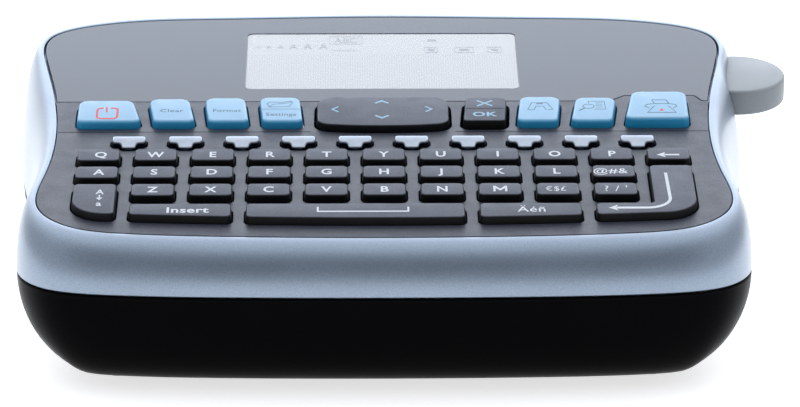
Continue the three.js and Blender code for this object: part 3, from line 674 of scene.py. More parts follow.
def bright_plating():
    """Silvery on top, dark down the walls: the dark walls are a painted reflection of the dark deck
    in front of them.
    """
    made = Finish("bright_plating", Metallic=1.0)
    top = made.tones(made.noise(3, detail=3), (0.35, 0.39, 0.45), (0.42, 0.46, 0.52))
    # Painted reflection: walls and steeper faces turn dark as they turn from the deck's up direction.
    made.colour(made.mix(made.facing_up(0.3, 0.99), (0.02, 0.028, 0.042), top))
    made.roughness(made.noise(1.5, detail=3, seed=2), 0.14, 0.24)
    made.bump(made.noise(0.4, detail=1), 0.006, 0.4)
    return made.material


def lever_plastic():
    """Pale grey on top, a deeper grey round the rim: the rim's deeper grey is painted shade on one
    grey plastic.
    """
    made = Finish("lever_plastic", Specular_IOR_Level=0.4)
    fine = made.noise(0.4, detail=2)
    top = made.tones(made.noise(14, detail=3), (0.44, 0.47, 0.49), (0.46, 0.49, 0.51))
    rim = made.tones(fine, (0.225, 0.245, 0.265), (0.24, 0.26, 0.28))
    worn = made.mix(made.worn_edges(), top, (0.56, 0.59, 0.62))
    # Painted shade: the rim darkens as it turns from the deck's up direction.
    made.colour(made.mix(made.facing_up(0.2, 0.9), rim, worn))
    made.roughness(made.noise(5, detail=4, seed=3), 0.37, 0.47)
    made.bump(fine, 0.01)
    return made.material


def printed(name, colour):
    """A printed marking with slightly uneven ink."""
    made = Finish(name, Specular_IOR_Level=0.3)
    ink = made.noise(0.4, detail=2)
    made.colour(made.tones(ink, shade(colour, 0.92), colour))
    made.roughness(ink, 0.45, 0.55)
    made.bump(ink, 0.004, 0.4)
    return made.material


def metal(name, colour, roughness, stretch):
    """Drawn or ground metal with fine lines along one direction."""
    made = Finish(name, Metallic=1.0)
    lines = made.noise(0.6, detail=3, stretch=stretch)
    made.colour(made.tones(lines, shade(colour, 0.85), colour))
    made.roughness(lines, roughness - 0.08, roughness + 0.08)
    made.bump(lines, 0.006, 0.4)
    return made.material


def display_glass():
    """The pale face of the display: thin dark columns over its lower part."""
    made = Finish("display_face", Specular_IOR_Level=0.4)
    columns = made.spread(made.stripes(made.along("X"), LCD_COLUMN), 0, 0.5, 0.2, 1.0)
    icons_start = (CASE_ORIGIN.y + DECK_FRONT.y + LCD_COLUMNS_TO * math.cos(SLOPE)) * MM
    below_icons = made.spread(made.along("Y"), 1, 0, icons_start - MM, icons_start)
    slow = made.noise(25, detail=1)
    ground = made.tones(slow, (0.70, 0.705, 0.70), (0.72, 0.725, 0.72))
    made.colour(made.mix(made.maths("MULTIPLY", columns, below_icons), ground, (0.50, 0.52, 0.55)))
    made.roughness(slow, 0.2, 0.28)
    made.bump(made.noise(1.2, detail=1), 0.002, 0.2)
    return made.material


def clear_lens():
    made = Finish("clear_lens", Roughness=0.06, Alpha=0.07)
    smear = made.noise(12, detail=3)
    made.colour(made.tones(smear, (0.86, 0.9, 0.94), (0.95, 0.97, 1)))
    made.roughness(smear, 0.04, 0.1)
    return made.material


def circuit_mask():
    made = Finish("circuit_mask", Specular_IOR_Level=0.5)
    tracks = made.node("ShaderNodeTexVoronoi", feature="DISTANCE_TO_EDGE", distance="CHEBYCHEV")
    tracks.inputs["Scale"].default_value = 250
    made.join(made.place, tracks.inputs["Vector"])
    line = made.spread(tracks.outputs["Distance"], 1, 0, 0.02, 0.06)
    made.colour(made.mix(line, (0.01, 0.075, 0.035), (0.03, 0.16, 0.07)))
    made.roughness(made.noise(4), 0.3, 0.45)
    made.bump(line, 0.02)
    return made.material


def wound_tape():
    """Label tape wound in thin turns round the spool's axis."""
    made = Finish("wound_tape")
    middle = joint_named("spool_spin")["pos_m"]
    squares = []
    for axis, centre in (("X", middle[0]), ("Z", middle[2])):
        away = made.maths("SUBTRACT", made.along(axis), centre)
        squares.append(made.maths("MULTIPLY", away, away))
    radius = made.maths("SQRT", made.maths("ADD", *squares))
    line = made.spread(made.stripes(radius, 0.3), 0, 1, -1, 1)
    made.colour(made.mix(line, (0.62, 0.6, 0.54), (0.86, 0.84, 0.78)))
    made.roughness(made.noise(3), 0.5, 0.65)
    made.bump(line, 0.02)
    return made.material


SILVER = silver_paint()
BLACK = plastic(
    "black_plastic", (0.001, 0.001, 0.0013), 0.3, 0.4, 0.01, 0.1, (0.005, 0.005, 0.006),
    Specular_IOR_Level=0.02,
)
DECK = deck_plastic()
PANEL = panel_plastic()
KEY = key_plastic()
# Near-black strips laid where grooves are: painted shade.
GROOVE_SHADE = plastic("painted_groove_shade", (0.01, 0.01, 0.012), 0.6, 0.3, 0.02, Specular_IOR_Level=0.1)
BLUE = blue_plastic()
PLATING = bright_plating()
WHITE_PRINT = printed("white_print", (0.9, 0.94, 1.0))
GREY_PRINT = printed("grey_print", (0.10, 0.19, 0.28))
RED_PRINT = printed("red_print", (1.0, 0.16, 0.15))
BLUE_PRINT = printed("blue_print", (0.42, 0.68, 0.88))
FAINT_PRINT = printed("faint_print", (0.57, 0.60, 0.64))
LEVER = lever_plastic()
RUBBER = plastic("black_rubber", (0.02, 0.02, 0.022), 0.75, 0.6, 0.05, 0.15, (0.05, 0.05, 0.055))
WHITE_PLASTIC = plastic("white_plastic", (0.66, 0.66, 0.62), 0.45, 0.5, 0.01, 0.04)
SLEEVE = plastic("battery_sleeve", (0.015, 0.017, 0.03), 0.3, 0.8, 0.02, 0.1)
STEEL_ALONG_X = metal("steel_along_x", (0.62, 0.63, 0.65), 0.32, (0.04, 1, 1))
STEEL_ALONG_Z = metal("steel_along_z", (0.68, 0.69, 0.71), 0.22, (1, 1, 0.04))
LCD = display_glass()
LENS = clear_lens()
BOARD = circuit_mask()
TAPE = wound_tape()

# ---- Case ---------------------------------------------------------------------------------

case_outline = smooth_closed(mirrored(CASE_HALF), STEPS_PER_STRETCH)
opening_outline = smooth_closed(mirrored(OPENING_HALF), STEPS_PER_STRETCH)


def frame_ring(outer, inner, angle, drop=0.0, lift=0.0):
    """A ring of the silver frame: angle 0 at the seam, a right angle at the rim."""
    height = math.sin(angle) ** (2 / ROLL_POWER)
    reach = ROLL_REACH * (1 - math.cos(angle))
    ring = []
    for (x0, y0), (x1, y1) in zip(outer, inner):
        x, y = x0 + (x1 - x0) * reach, y0 + (y1 - y0) * reach
        low = SEAM + lift
        ring.append((x, y, low + (deck_z(y) - drop - low) * height))
    return ring


def deck_ring(outline, height):
    return [(x, y, deck_z(y) + height) for x, y in outline]


def hull_ring(angle, inset, depth):
    """A ring of the black hull: angle 0 at the seam, a right angle at the floor."""

    def narrowing(normal):
        end = HULL_INSET["front"] if normal.y < 0 else HULL_INSET["rear"]
        full = HULL_INSET["side"] * normal.x**2 + end * normal.y**2
        return -inset - full * (1 - math.cos(angle))

    return at_height(offset(case_outline, narrowing), SEAM - depth * math.sin(angle))


def scooped(ring):
    """The ring with the right flank pressed in round the lever."""
    pressed = []
    for x, y, z in ring:
        away = math.hypot((y - SCOOP_Y) / SCOOP_HALF_Y, (z - SCOOP_Z) / SCOOP_HALF_Z)
        depth = SCOOP_DEPTH * (0.5 + 0.5 * math.cos(math.pi * min(1, away)))
        pressed.append((x - depth if x > SCOOP_FROM_X else x, y, z))
    return pressed


def silver_frame():
    inner_case, inner_opening = offset(case_outline, -WALL), offset(opening_outline, -LEDGE_WIDTH)
    under_ledge = LEDGE_DEPTH + 1.6
    rings = [at_height(offset(case_outline, -EDGE), SEAM)]
    rings += [scooped(frame_ring(case_outline, opening_outline, a, lift=EDGE)) for a in quarter(28)]
    for angle in quarter(4):
        shift, drop = EDGE * (1 - math.sin(angle)), EDGE * (1 - math.cos(angle))
        rings.append(deck_ring(offset(opening_outline, shift), -drop))
    rings.append(deck_ring(opening_outline, -LEDGE_DEPTH))
    rings.append(deck_ring(inner_opening, -LEDGE_DEPTH))
    rings.append(deck_ring(inner_opening, -under_ledge))
    rings += [
        frame_ring(inner_case, inner_opening, a, under_ledge) for a in reversed(quarter(8))
    ]
    made = Piece()
    made.skin(rings, closed=True)
    thing = made.make("silver_frame", IN_CASE, [SILVER])
    cutters = [door_cutter(DOOR_GAP), lever_cutter(), slot_cutter(), inlet_cutter()]
    return trim(thing, cutters)


def rear_cutter(outline, depth=REAR_REACH - REAR_WALL):
    """A prism through the rear wall, from an outline in x and z."""
    return cutter(outline, -REAR_REACH, depth - REAR_REACH, in_case(0, 0, 0, RIGHT_ANGLE))


def door_cutter(gap):
    """The rear door's outline, grown by the gap."""
    box = rectangle(DOOR_LEFT - gap, DOOR_RIGHT + gap, DOOR_BOTTOM - gap, DOOR_TOP + gap)
    return rear_cutter(rounded(box, 1.5 + gap))


def in_hinge():
    """The hinge's axis, with z along it."""
    return in_case(0, HINGE_Y, DOOR_BOTTOM + HINGE_RADIUS, RIGHT_ANGLE, "Y")


def hinge_cutter():
    """Room for the door's rolled edge to turn in."""
    bar = circle(0, 0, HINGE_RADIUS + 2 * DOOR_GAP, 32)
    return cutter(bar, DOOR_LEFT - DOOR_GAP, DOOR_RIGHT + DOOR_GAP, in_hinge())


def in_lever():
    return in_case(LEVER_X, LEVER_Y, LEVER_TOP, SLOPE)


def lever_cutter():
    """The window that the lever moves down in."""
    half, reach = LEVER_RADIUS + 2 * LEVER_ROOM, 15
    outline = rounded(rectangle(-reach, reach, -half, half), 1.0)
    bottom = -LEVER_THICKNESS - LEVER_TRAVEL - LEVER_ROOM
    return cutter(outline, bottom, LEVER_ROOM, in_lever())


def slot_cutter():
    """The slot in the right flank that labels leave by, with rounded ends."""
    place = in_case(0, 0, 0, RIGHT_ANGLE, "Z") @ Matrix.Rotation(RIGHT_ANGLE, 4, "X")
    inside, outside = 64, 95
    outline = rounded(rectangle(SLOT_FRONT, SLOT_REAR, SLOT_BOTTOM, SLOT_TOP), 1.2)
    return cutter(outline, inside, outside, place)


def inlet_cutter():
    return rear_cutter(circle(INLET_X, INLET_Z, INLET_RADIUS + 0.3, 32))


def black_hull():
    depth = SEAM - FLOOR
    lip = SEAM - SEAM_GAP
    outer = [hull_ring(angle, 0, depth) for angle in reversed(quarter(20))][:-1]
    outer.append(at_height(case_outline, lip - EDGE))
    outer.append(at_height(offset(case_outline, -EDGE), lip))
    inner_depth = depth - FLOOR_THICKNESS
    inner = [at_height(offset(case_outline, -WALL), lip)]
    inner += [hull_ring(angle, WALL, inner_depth) for angle in quarter(10)[1:]]
    made = Piece()
    made.skin(outer + inner)
    thing = made.make("black_hull", IN_CASE, [BLACK])
    cutters = [door_cutter(DOOR_GAP), hinge_cutter(), cover_cutter()]
    for x in (-FOOT_X, FOOT_X):
        for y in (FOOT_FRONT, FOOT_REAR):
            cutters.append(cutter(circle(x, y, FOOT_RADIUS + 0.3, 32), 0, FLOOR + 1, IN_CASE))
    return trim(thing, cutters)


def cover_cutter():
    """The battery cover's opening in the floor."""
    half, front, rear = COVER_HALF + COVER_GAP, COVER_FRONT - COVER_GAP, COVER_REAR + COVER_GAP
    outline = rounded(rectangle(-half, half, front, rear), 2)
    return cutter(outline, 0, FLOOR + 1 + FLOOR_THICKNESS, IN_CASE)


def battery_bay():
    """The walls and the roof round the batteries, inside the hull."""
    made = Piece()
    inner_box = rectangle(-BAY_HALF, BAY_HALF, BAY_FRONT, BAY_REAR)
    inner, outer = rounded(inner_box, 1), rounded(offset(inner_box, BAY_WALL), 2)
    base = FLOOR + FLOOR_THICKNESS
    made.skin([
        at_height(inner, BAY_TOP), at_height(inner, base),
        at_height(outer, base), at_height(outer, BAY_TOP + BAY_WALL),
    ])
    return made.make("battery_bay", IN_CASE, [BLACK])


def rear_door():
    outer = [hull_ring(a, 0, SEAM - FLOOR) for a in reversed(quarter(16))][:-1]
    outer += [frame_ring(case_outline, opening_outline, a) for a in quarter(20)[:-1]]
    inner_case, inner_opening = offset(case_outline, -WALL), offset(opening_outline, -WALL)
    inner_depth = SEAM - FLOOR - FLOOR_THICKNESS
    inner = [frame_ring(inner_case, inner_opening, a, 2) for a in reversed(quarter(10))]
    inner += [hull_ring(a, WALL, inner_depth) for a in quarter(8)[1:]]
    made = Piece()
    made.skin(outer + inner)
    thing = made.make("rear_door", IN_CASE, [BLACK])
    trim(thing, [door_cutter(0)], "INTERSECT")
    lug = rear_cutter(rectangle(HINGE_RIGHT, HINGE_RIGHT + HINGE_LUG, 0, DOOR_BOTTOM + 5.4), 20)
    grip = rear_cutter(rounded(rectangle(5, 25, 36.5, 40), 1.7), 5.8)
    return trim(thing, [lug, grip])


def hinge_barrel():
    """The rolled edge of the door that turns on the pin."""
    made = Piece()
    pitch, length = 15, 13.5
    outer, bore = circle(0, 0, HINGE_RADIUS, 32), circle(0, 0, PIN_RADIUS + 0.15, 32)
    for start in range(DOOR_LEFT, HINGE_RIGHT, pitch):
        end = min(start + length, HINGE_RIGHT)
        made.skin([
            at_height(bore, end), at_height(bore, start), at_height(outer, start),
            at_height(outer, end),
        ], closed=True)
    return made.make("hinge_barrel", in_hinge(), [BLACK])


def battery_cover():
    """The cover under the batteries, with a patch of grooves to push it by."""
    outline = rounded(rectangle(-COVER_HALF, COVER_HALF, COVER_FRONT, COVER_REAR), 1.7)
    edge = 0.3
    made = Piece()
    made.skin([
        at_height(offset(outline, -edge), FLOOR), at_height(outline, FLOOR + edge),
        at_height(outline, FLOOR + COVER_THICKNESS),
    ])
    thing = made.make("battery_door", IN_CASE, [BLACK])
    first, pitch, half_length, half_width, depth = -20, 1.6, 9, 0.4, 0.5
    grooves = []
    for i in range(7):
        y = first + pitch * i
        outline = rounded(rectangle(-half_length, half_length, y - half_width, y + half_width), 0.38)
        grooves.append(cutter(outline, 1, FLOOR + depth, IN_CASE))
    return trim(thing, grooves)


def foot(x, y):
    """A rubber foot with a rounded edge and a shallow ring in its sole."""
    profile = [
        (0.01, 0.35), (1.7, 0.35), (2.0, 0.0), (2.9, 0.0), (3.45, 0.2), (3.8, 0.6),
        (FOOT_RADIUS, 1.1), (FOOT_RADIUS, FLOOR + 0.7),
    ]
    made = Piece()
    made.skin([at_height(circle(x, y, radius, 40), z) for radius, z in profile])
    return made


def power_inlet():
    """A socket turned from its profile: radius and distance to the rear. A pin stands in it."""
    profile = [
        (5, 54), (5, 65), (4, 65), (4, 68.3), (3.6, 68.7), (3.1, 68.7), (2.8, 68.4), (2.8, 58),
    ]
    pin = [(0.95, 58), (0.95, 66.4), (0.6, 67), (0.05, 67.05)]
    made = Piece()
    made.skin([at_height(circle(0, 0, radius, 40), z) for radius, z in profile])
    made.skin([at_height(circle(0, 0, radius, 20), z) for radius, z in pin], paint=1)
    place = in_case(INLET_X, 0, INLET_Z, -RIGHT_ANGLE)
    return made.make("power_inlet", place, [BLACK, STEEL_ALONG_X])


def build_case():
    place_piece(silver_frame(), "root", "silver_housing", "top_frame")
    place_piece(black_hull(), "root", "black_housing", "bottom_shell")
    place_piece(battery_bay(), "root", "black_housing")
    place_piece(rear_door(), "cassette_door", "black_housing", "cassette_door")
    place_piece(hinge_barrel(), "cassette_door", "black_housing")
    place_piece(battery_cover(), "battery_cover", "black_housing", "battery_cover")
    place_piece(power_inlet(), "root", "black_housing", "power_jack")
    for end, y in (("front", FOOT_FRONT), ("rear", FOOT_REAR)):
        for side, x in (("left", -FOOT_X), ("right", FOOT_X)):
            sole = foot(x, y).make(f"sole_{end}_{side}", IN_CASE, [RUBBER])
            place_piece(sole, "root", "rubber", f"foot_{end}_{side}")


# ---- Deck and display ---------------------------------------------------------------------


def letter_outline(column, row, grow=0.0):
    x = column * PITCH
    half_width, half_depth = KEY_WIDTH / 2 + grow, KEY_DEPTH / 2 + grow
    return rounded(
        rectangle(x - half_width, x + half_width, row - half_depth, row + half_depth), 1.3 + grow
    )


def key_side(column, side):
    """The x of a key's left (-1) or right (1) side."""
    return column * PITCH + side * KEY_WIDTH / 2


def front_edge(x):
    """How far up the slope the front edge of the space row lies. It bows like the case."""
    bow = FRONT_EDGE_OUT - FRONT_EDGE_MIDDLE
    return FRONT_EDGE_MIDDLE + bow * (x / FRONT_EDGE_AT) ** 2


def bowed(x0, x1):
    """Points along the front edge of the space row, strictly between two places."""
    spots = [x0 + (x1 - x0) * i / 8 for i in range(1, 8)]
    return [(x, front_edge(x), 0) for x in spots]


def wide_outline(first, last):
    x0, x1 = key_side(first, -1), key_side(last, 1)
    front = [(x0, front_edge(x0)), *bowed(x0, x1), (x1, front_edge(x1))]
    return rounded([*front, (x1, ROW_REAR), (x0, ROW_REAR)], 1.3)


def caps_outline():
    x0, x1 = key_side(-5, -1), key_side(-5, 1)
    low, high = front_edge(x0) - 0.4, ROW_BOTTOM + KEY_DEPTH / 2
    return rounded([(x0, low, 7.5), (x1, front_edge(x1)), (x1, high), (x0, high)], 1.3, steps=10)


def enter_outline():
    x0, x1, x2 = key_side(4, -1), key_side(5, -1), key_side(5, 1)
    front = [(x0, front_edge(x0)), *bowed(x0, x2 - 6), (x2, front_edge(x2) - 0.4, 7.5)]
    rear = [(x2, ROW_MIDDLE + KEY_DEPTH / 2), (x1, ROW_MIDDLE + KEY_DEPTH / 2)]
    return rounded([*front, *rear, (x1, ROW_REAR, 0.8), (x0, ROW_REAR)], 1.3, steps=10)


def number_outline(x):
    """A crossbar with a stem towards the front. Each corner has its own radius."""
    corners = [
        (-1.5, NUMBER_FRONT, 0.7), (1.5, NUMBER_FRONT, 0.7), (1.85, 49.5, 0.6),
        (NUMBER_HALF, 49.6, 1.0), (NUMBER_HALF, NUMBER_REAR, 0.8),
        (-NUMBER_HALF, NUMBER_REAR, 0.8), (-NUMBER_HALF, 49.6, 1.0), (-1.85, 49.5, 0.6),
    ]
    return rounded([(x + dx, along, radius) for dx, along, radius in corners], 0, steps=5)


def slant_outline(key, radius=1.7):
    front = [(x, key.low, radius) for x in key.front]
    rear = [(x, key.high) for x in reversed(key.rear)]
    return rounded(front + rear, radius + 0.6)


def pad_outline():
    """The navigation pad: a bowed front edge and long, soft corners."""
    half, side_front = PAD_HALF, PAD_FROM + 1.2
    front = [(x, PAD_FROM + (x / half) ** 2, 0) for x in range(-8, 9, 4)]
    right = [(half, side_front, 3.2), (half, PAD_TO)]
    left = [(-half, PAD_TO), (-half, side_front, 3.2)]
    return rounded(front + right + left, 4.2)


LETTER_ROWS = {
    "letter_row_top": (-5, ROW_TOP, list("QWERTYUIOP")),
    "letter_row_middle": (-5, ROW_MIDDLE, list("ASDFGHJKL") + ["@#&"]),
    "letter_row_bottom": (-4, ROW_BOTTOM, list("ZXCVBNM") + ["€$£", "? / '"]),
}


def deck_holes():
    holes = []
    for first, row, letters in LETTER_ROWS.values():
        holes += [letter_outline(first + i, row, KEY_GAP) for i in range(len(letters))]
    holes.append(letter_outline(5, ROW_TOP, KEY_GAP))
    for outline in (caps_outline(), wide_outline(-4, -3), wide_outline(-2, 1),
                    wide_outline(2, 3), enter_outline()):
        holes.append(offset(outline, KEY_GAP))
    holes += [offset(number_outline(number_x(i)), NUMBER_GAP) for i in range(10)]
    *others, print_key_shape = FUNCTION_KEYS.values()
    holes += [offset(slant_outline(key), KEY_GAP) for key in others]
    holes.append(offset(slant_outline(ROCKER), ROCKER_GAP))
    holes.append(offset(pad_outline(), PAD_GAP))
    holes.append(offset(slant_outline(print_key_shape), KEY_GAP))
    return holes


def number_x(i):
    return (i - 4.5) * PITCH


def seam_corners(gap):
    """The line between deck and panel, from right to left. It runs round the print key."""
    rear = DECK_REAR + gap
    return [
        (71.5 + gap, rear, 0.8), (70 + gap, rear + 3.2, 1.2), (54.5 - gap, rear + 3.2, 1.2),
        (51 - gap, rear, 0.8),
    ]


def deck_and_panel_outlines():
    deck_edge = offset([(x, up_slope(y)) for x, y in opening_outline], -0.18)
    panel_edge = offset([(x, up_slope(y)) for x, y in opening_outline], -0.5)
    middle = len(deck_edge) // 2
    seam_x = max(x for x, along in deck_edge if abs(along - DECK_REAR) < 3)
    front_right = [(x, along, 0) for x, along in deck_edge[:middle] if along < DECK_REAR - 0.5]
    front_left = [(-x, along, 0) for x, along, _ in reversed(front_right[1:])]
    seam = [(seam_x, DECK_REAR, 0)] + seam_corners(0) + [(-seam_x, DECK_REAR, 0)]
    deck = rounded(front_right + seam + front_left, 0)
    gap = 0.12
    edge_x = max(x for x, along in panel_edge if abs(along - DECK_REAR) < 3)
    rear = [(x, along, 0) for x, along in panel_edge if along > DECK_REAR + gap + 0.5]
    start = [(-edge_x, DECK_REAR + gap, 0)] + seam_corners(gap)[::-1]
    panel = rounded(start + [(edge_x, DECK_REAR + gap, 0)] + rear, 0)
    return deck, panel


def window_outline(grow):
    return offset(
        rounded(rectangle(-WINDOW_HALF, WINDOW_HALF, WINDOW_FROM, WINDOW_TO), 1.6, steps=8), grow
    )


def deck_plate(name, outlines, low, high, edge, paint):
    made = Piece()
    plate(made, outlines, low, high, edge)
    return made.make(name, IN_DECK, [paint])


def deck_groove():
    """The fine line across the deck, broken by the navigation pad: a black strip laid on the deck,
    painted shade in place of a cut groove.
    """
    inner_end, outer_end, width, lift = PAD_HALF + 1.2, 71.8, 0.3, 0.012
    made = Piece()
    for side in (-1, 1):
        ends = [(side * inner_end, GROOVE_AT), (side * outer_end, GROOVE_AT)]
        made.ribbon(ends, width, lift, tall=1)
    return made.make("deck_groove", IN_DECK, [GROOVE_SHADE])


def build_deck():
    deck_outline, panel_outline = deck_and_panel_outlines()
    bottom = -DECK_THICKNESS
    deck = deck_plate("keyboard_plate", [deck_outline, *deck_holes()], bottom, 0, 0.15, DECK)
    place_piece(deck, "root", "deck", "keyboard_deck")
    place_piece(deck_groove(), "root", "deck")
    panel = deck_plate("display_bezel", [panel_outline, window_outline(0)], bottom, 0, 0.2, PANEL)
    place_piece(panel, "root", "panel", "display_panel")
    lens = deck_plate("display_lens", [window_outline(-0.08)], LENS_BOTTOM, LENS_TOP, 0.03, LENS)
    place_piece(lens, "root", "window", "display_window")
    place_piece(display(), "root", "display", "lcd_module")


def display():
    """The display's pale face with its row of small marks along the top."""
    made = Piece()
    grow = 0.05
    made.skin([
        at_height(window_outline(grow), DISPLAY_BOTTOM),
        at_height(window_outline(grow), DISPLAY_FACE - 2 * grow),
        at_height(window_outline(-grow), DISPLAY_FACE),
    ])
    z = DISPLAY_FACE + PRINT_LIFT
    for i in range(6):
        made.text("A", -28.4 + 2.3 * i + 0.14 * i * i, 110.0 + 0.1 * i, z, 1.9 + 0.4 * i, 1, 0.6, 0)
    made.text("ABC", -8.2, 114.2, z, 3.2, 1, 0.6, 0)
    made.ribbon(rounded(rectangle(-12.0, -4.4, 111.8, 116.6), 0.4), 0.16, z, 1, closed=True)
    made.ribbon([(-11.6, 107.6), (-5.6, 107.6)], 0.2, z, 1)
    for x, half in ((11.4, 1.5), (19.0, 2.2), (26.0, 1.6)):
        box = rectangle(x - half, x + half, 106.4, 109.6)
        made.ribbon(rounded(box, 0.3), 0.16, z, 1, closed=True)
        made.ribbon([(x - half / 2, 108.0), (x + half / 2, 108.0)], 0.8, z, 1)
    made.ribbon([(10.6, 114.0), (12.6, 114.0)], 0.8, z, 1)
    return made.make("display_face", IN_DECK, [LCD, FAINT_PRINT])


# ---- Keys ---------------------------------------------------------------------------------


def cap_rings(outline, height, lean=0.2, edge=0.4, steps=6):
    """The rings of a key cap: slightly leaning walls and a rounded upper edge."""
    rings = [at_height(outline, KEY_ROOT), at_height(outline, KEY_SKIRT)]
    for angle in quarter(steps):
        inset = lean + edge * (1 - math.cos(angle))
        rings.append(at_height(offset(outline, -inset), height - edge + edge * math.sin(angle)))
    return rings


def cap(piece, outline, height, *shape):
    piece.skin(cap_rings(outline, height, *shape))


def letter_row(name):
    first, row, letters = LETTER_ROWS[name]
    made = Piece()
    for i, letter in enumerate(letters):
        cap(made, letter_outline(first + i, row), KEY_HEIGHT)
        size, stretch, shift, weight = LETTERING.get(letter, PLAIN_LETTER)
        x = (first + i) * PITCH + shift
        if letter == "M":
            stroked_m(made, x, row - 0.1)
        else:
            made.text(letter, x, row - 0.1, LEGEND_Z, size, 1, stretch, weight)
    bar_low, bar_high = KEY_ROOT, -2.5
    bar = rectangle(
        key_side(first, -0.8), key_side(first + len(letters) - 1, 0.8), row - 2, row + 2
    )
    made.skin([at_height(bar, bar_low), at_height(bar, bar_high)])
    return made


# Height, stretch, shift and weight: of a plain letter in the middle, and of the others.
PLAIN_LETTER = (3.0, 0.8, 0.0, 0.026)
LETTERING = {
    "Q": (3.0, 0.8, 0.5, 0.026), "A": (3.0, 0.8, 0.5, 0.026), "@#&": (2.8, 0.85, -0.8, 0.008),
    "€$£": (2.4, 0.75, -0.5, 0.0), "? / '": (3.0, 0.85, 0.0, 0.0),
}


def stroked_m(piece, x, row):
    """The letter M, drawn with strokes."""
    half, tall = 1.25, 1.5
    for side in (-1, 1):
        piece.ribbon([(x + side * half, row - tall), (x + side * half, row + tall)], 0.5, LEGEND_Z, 1)
        start = x + side * (half - 0.25)
        piece.add(
            [(start, row + tall, LEGEND_Z), (start, row + 0.3, LEGEND_Z),
             (x, row - tall + 0.4, LEGEND_Z), (x, row - 0.1, LEGEND_Z)],
            [[0, 1, 2, 3][::side]], 1,
        )


DARK_PAINTS = [KEY, WHITE_PRINT]


def arrow_head(piece, x, y, z, length, half, paint):
    """A filled arrowhead that points left, with its tip at x, y."""
    piece.add(
        [(x, y, z), (x + length, y - half, z), (x + 0.8 * length, y, z), (x + length, y + half, z)],
        [[0, 1, 2], [0, 2, 3]], paint,
    )


def backspace_key(made):
    cap(made, letter_outline(5, ROW_TOP), KEY_HEIGHT)
    row = ROW_TOP - 0.9
    arrow_head(made, 59.3, row, LEGEND_Z, 2.0, 1.4, 1)
    made.ribbon([(61.0, row), (64.3, row)], 0.5, LEGEND_Z, 1)


def caps_key(made):
    cap(made, caps_outline(), KEY_HEIGHT)
    x = -60.8
    made.text("A", x, 20.9, LEGEND_Z, 2.5, 1, 0.7)
    made.ribbon([(x, 19.2), (x, 17.4)], 0.32, LEGEND_Z, 1)
    points = [(x - 0.75, 17.7), (x, 16.3), (x + 0.75, 17.7)]
    made.add([(px, py, LEGEND_Z) for px, py in points], [[0, 1, 2]], 1)
    made.text("a", x, 14.6, LEGEND_Z, 2.5, 1, 0.75)


def insert_key(made):
    cap(made, wide_outline(-4, -3), KEY_HEIGHT)
    made.text("Insert", -41.9, 11.0, LEGEND_Z, 2.9, 1, 0.9)


def space_bar(made):
    cap(made, wide_outline(-2, 1), KEY_HEIGHT)
    low, high = 10.0, 12.4
    made.ribbon([(-14.2, high), (-14.2, low), (5.0, low), (5.0, high)], 0.42, LEGEND_Z, 1)


def accent_key(made):
    cap(made, wide_outline(2, 3), KEY_HEIGHT)
    made.text("Äéñ", 31.2, 11.0, LEGEND_Z, 2.8, 1, 0.92, 0.008)


def enter_key(made):
    cap(made, enter_outline(), KEY_HEIGHT)
    bend = [
        (60.9 - 5.2 * (1 - math.cos(turn)), 16.8 - 5.2 * math.sin(turn)) for turn in quarter(10)
    ]
    path = [(60.7, 30.6)] + bend + [(49.2, 11.6)]
    made.ribbon(path, 0.68, LEGEND_Z, 1)
    arrow_head(made, 47.5, 11.6, LEGEND_Z, 2.0, 1.5, 1)


def number_key(x):
    """A plated key: a crossbar, and a stem that falls towards the front."""
    made = Piece()
    rings = cap_rings(number_outline(x), NUMBER_HEIGHT, 0.1, 0.45, 5)
    made.skin([[sloped(point) for point in ring] for ring in rings])
    return made


STEM_LENGTH, STEM_END = 2.6, 0.4


def sloped(point):
    """Lowers the stem of a number key towards its front."""
    x, along, z = point
    rise = min(1.0, max(0.0, (along - NUMBER_FRONT) / STEM_LENGTH))
    return (x, along, z if z < 0.1 else z * (STEM_END + (1 - STEM_END) * rise))


FUNCTION_PAINTS = [BLUE, GREY_PRINT, RED_PRINT]
FUNCTION_Z = FUNCTION_KEYS["clear_key"].height + PRINT_LIFT


def function_cap(name):
    made = Piece()
    key = FUNCTION_KEYS[name]
    cap(made, slant_outline(key), key.height, 0.15, 0.75, 8)
    return made


def power_key():
    made = function_cap("power_key")
    z = FUNCTION_Z
    x, half, low, high = -61.15, 2.25, 62.0, 68.1
    ring = rounded([(x - half, high), (x - half, low), (x + half, low), (x + half, high)], 1.1)
    start = len(ring) // 4
    upper_left = [(x - 0.9, high)] + ring[1:start]
    upper_right = ring[3 * start:-1] + [(x + 0.7, high)]
    made.ribbon(upper_left + ring[start:3 * start] + upper_right, 0.5, z, 2)
    made.ribbon([(x - 0.25, high + 0.6), (x - 0.15, high - 2.4)], 0.42, z, 2)
    return made


def worded_key(name, words, x, stretch):
    made = function_cap(name)
    made.text(words, x, 66.6, FUNCTION_Z, 1.8, 1, stretch, 0.0)
    return made


def settings_key():
    made = function_cap("settings_key")
    z = FUNCTION_Z
    made.text("Settings", -22.6, 64.3, z, 1.8, 1, 0.82, 0.0)
    made.ribbon([(-26.8, 67.3), (-18.6, 67.3)], 0.12, z, 1)
    folder = [
        (-25.3, 68.5), (-25.8, 70.6), (-25.0, 71.5), (-23.7, 71.4), (-23.0, 70.9), (-20.5, 72.0),
        (-20.1, 71.2), (-20.8, 68.8),
    ]
    made.ribbon(folder, 0.14, z, 1, closed=True)
    made.ribbon([(-25.3, 68.6), (-24.3, 70.2), (-22.6, 70.4), (-20.3, 71.3)], 0.14, z, 1)
    return made


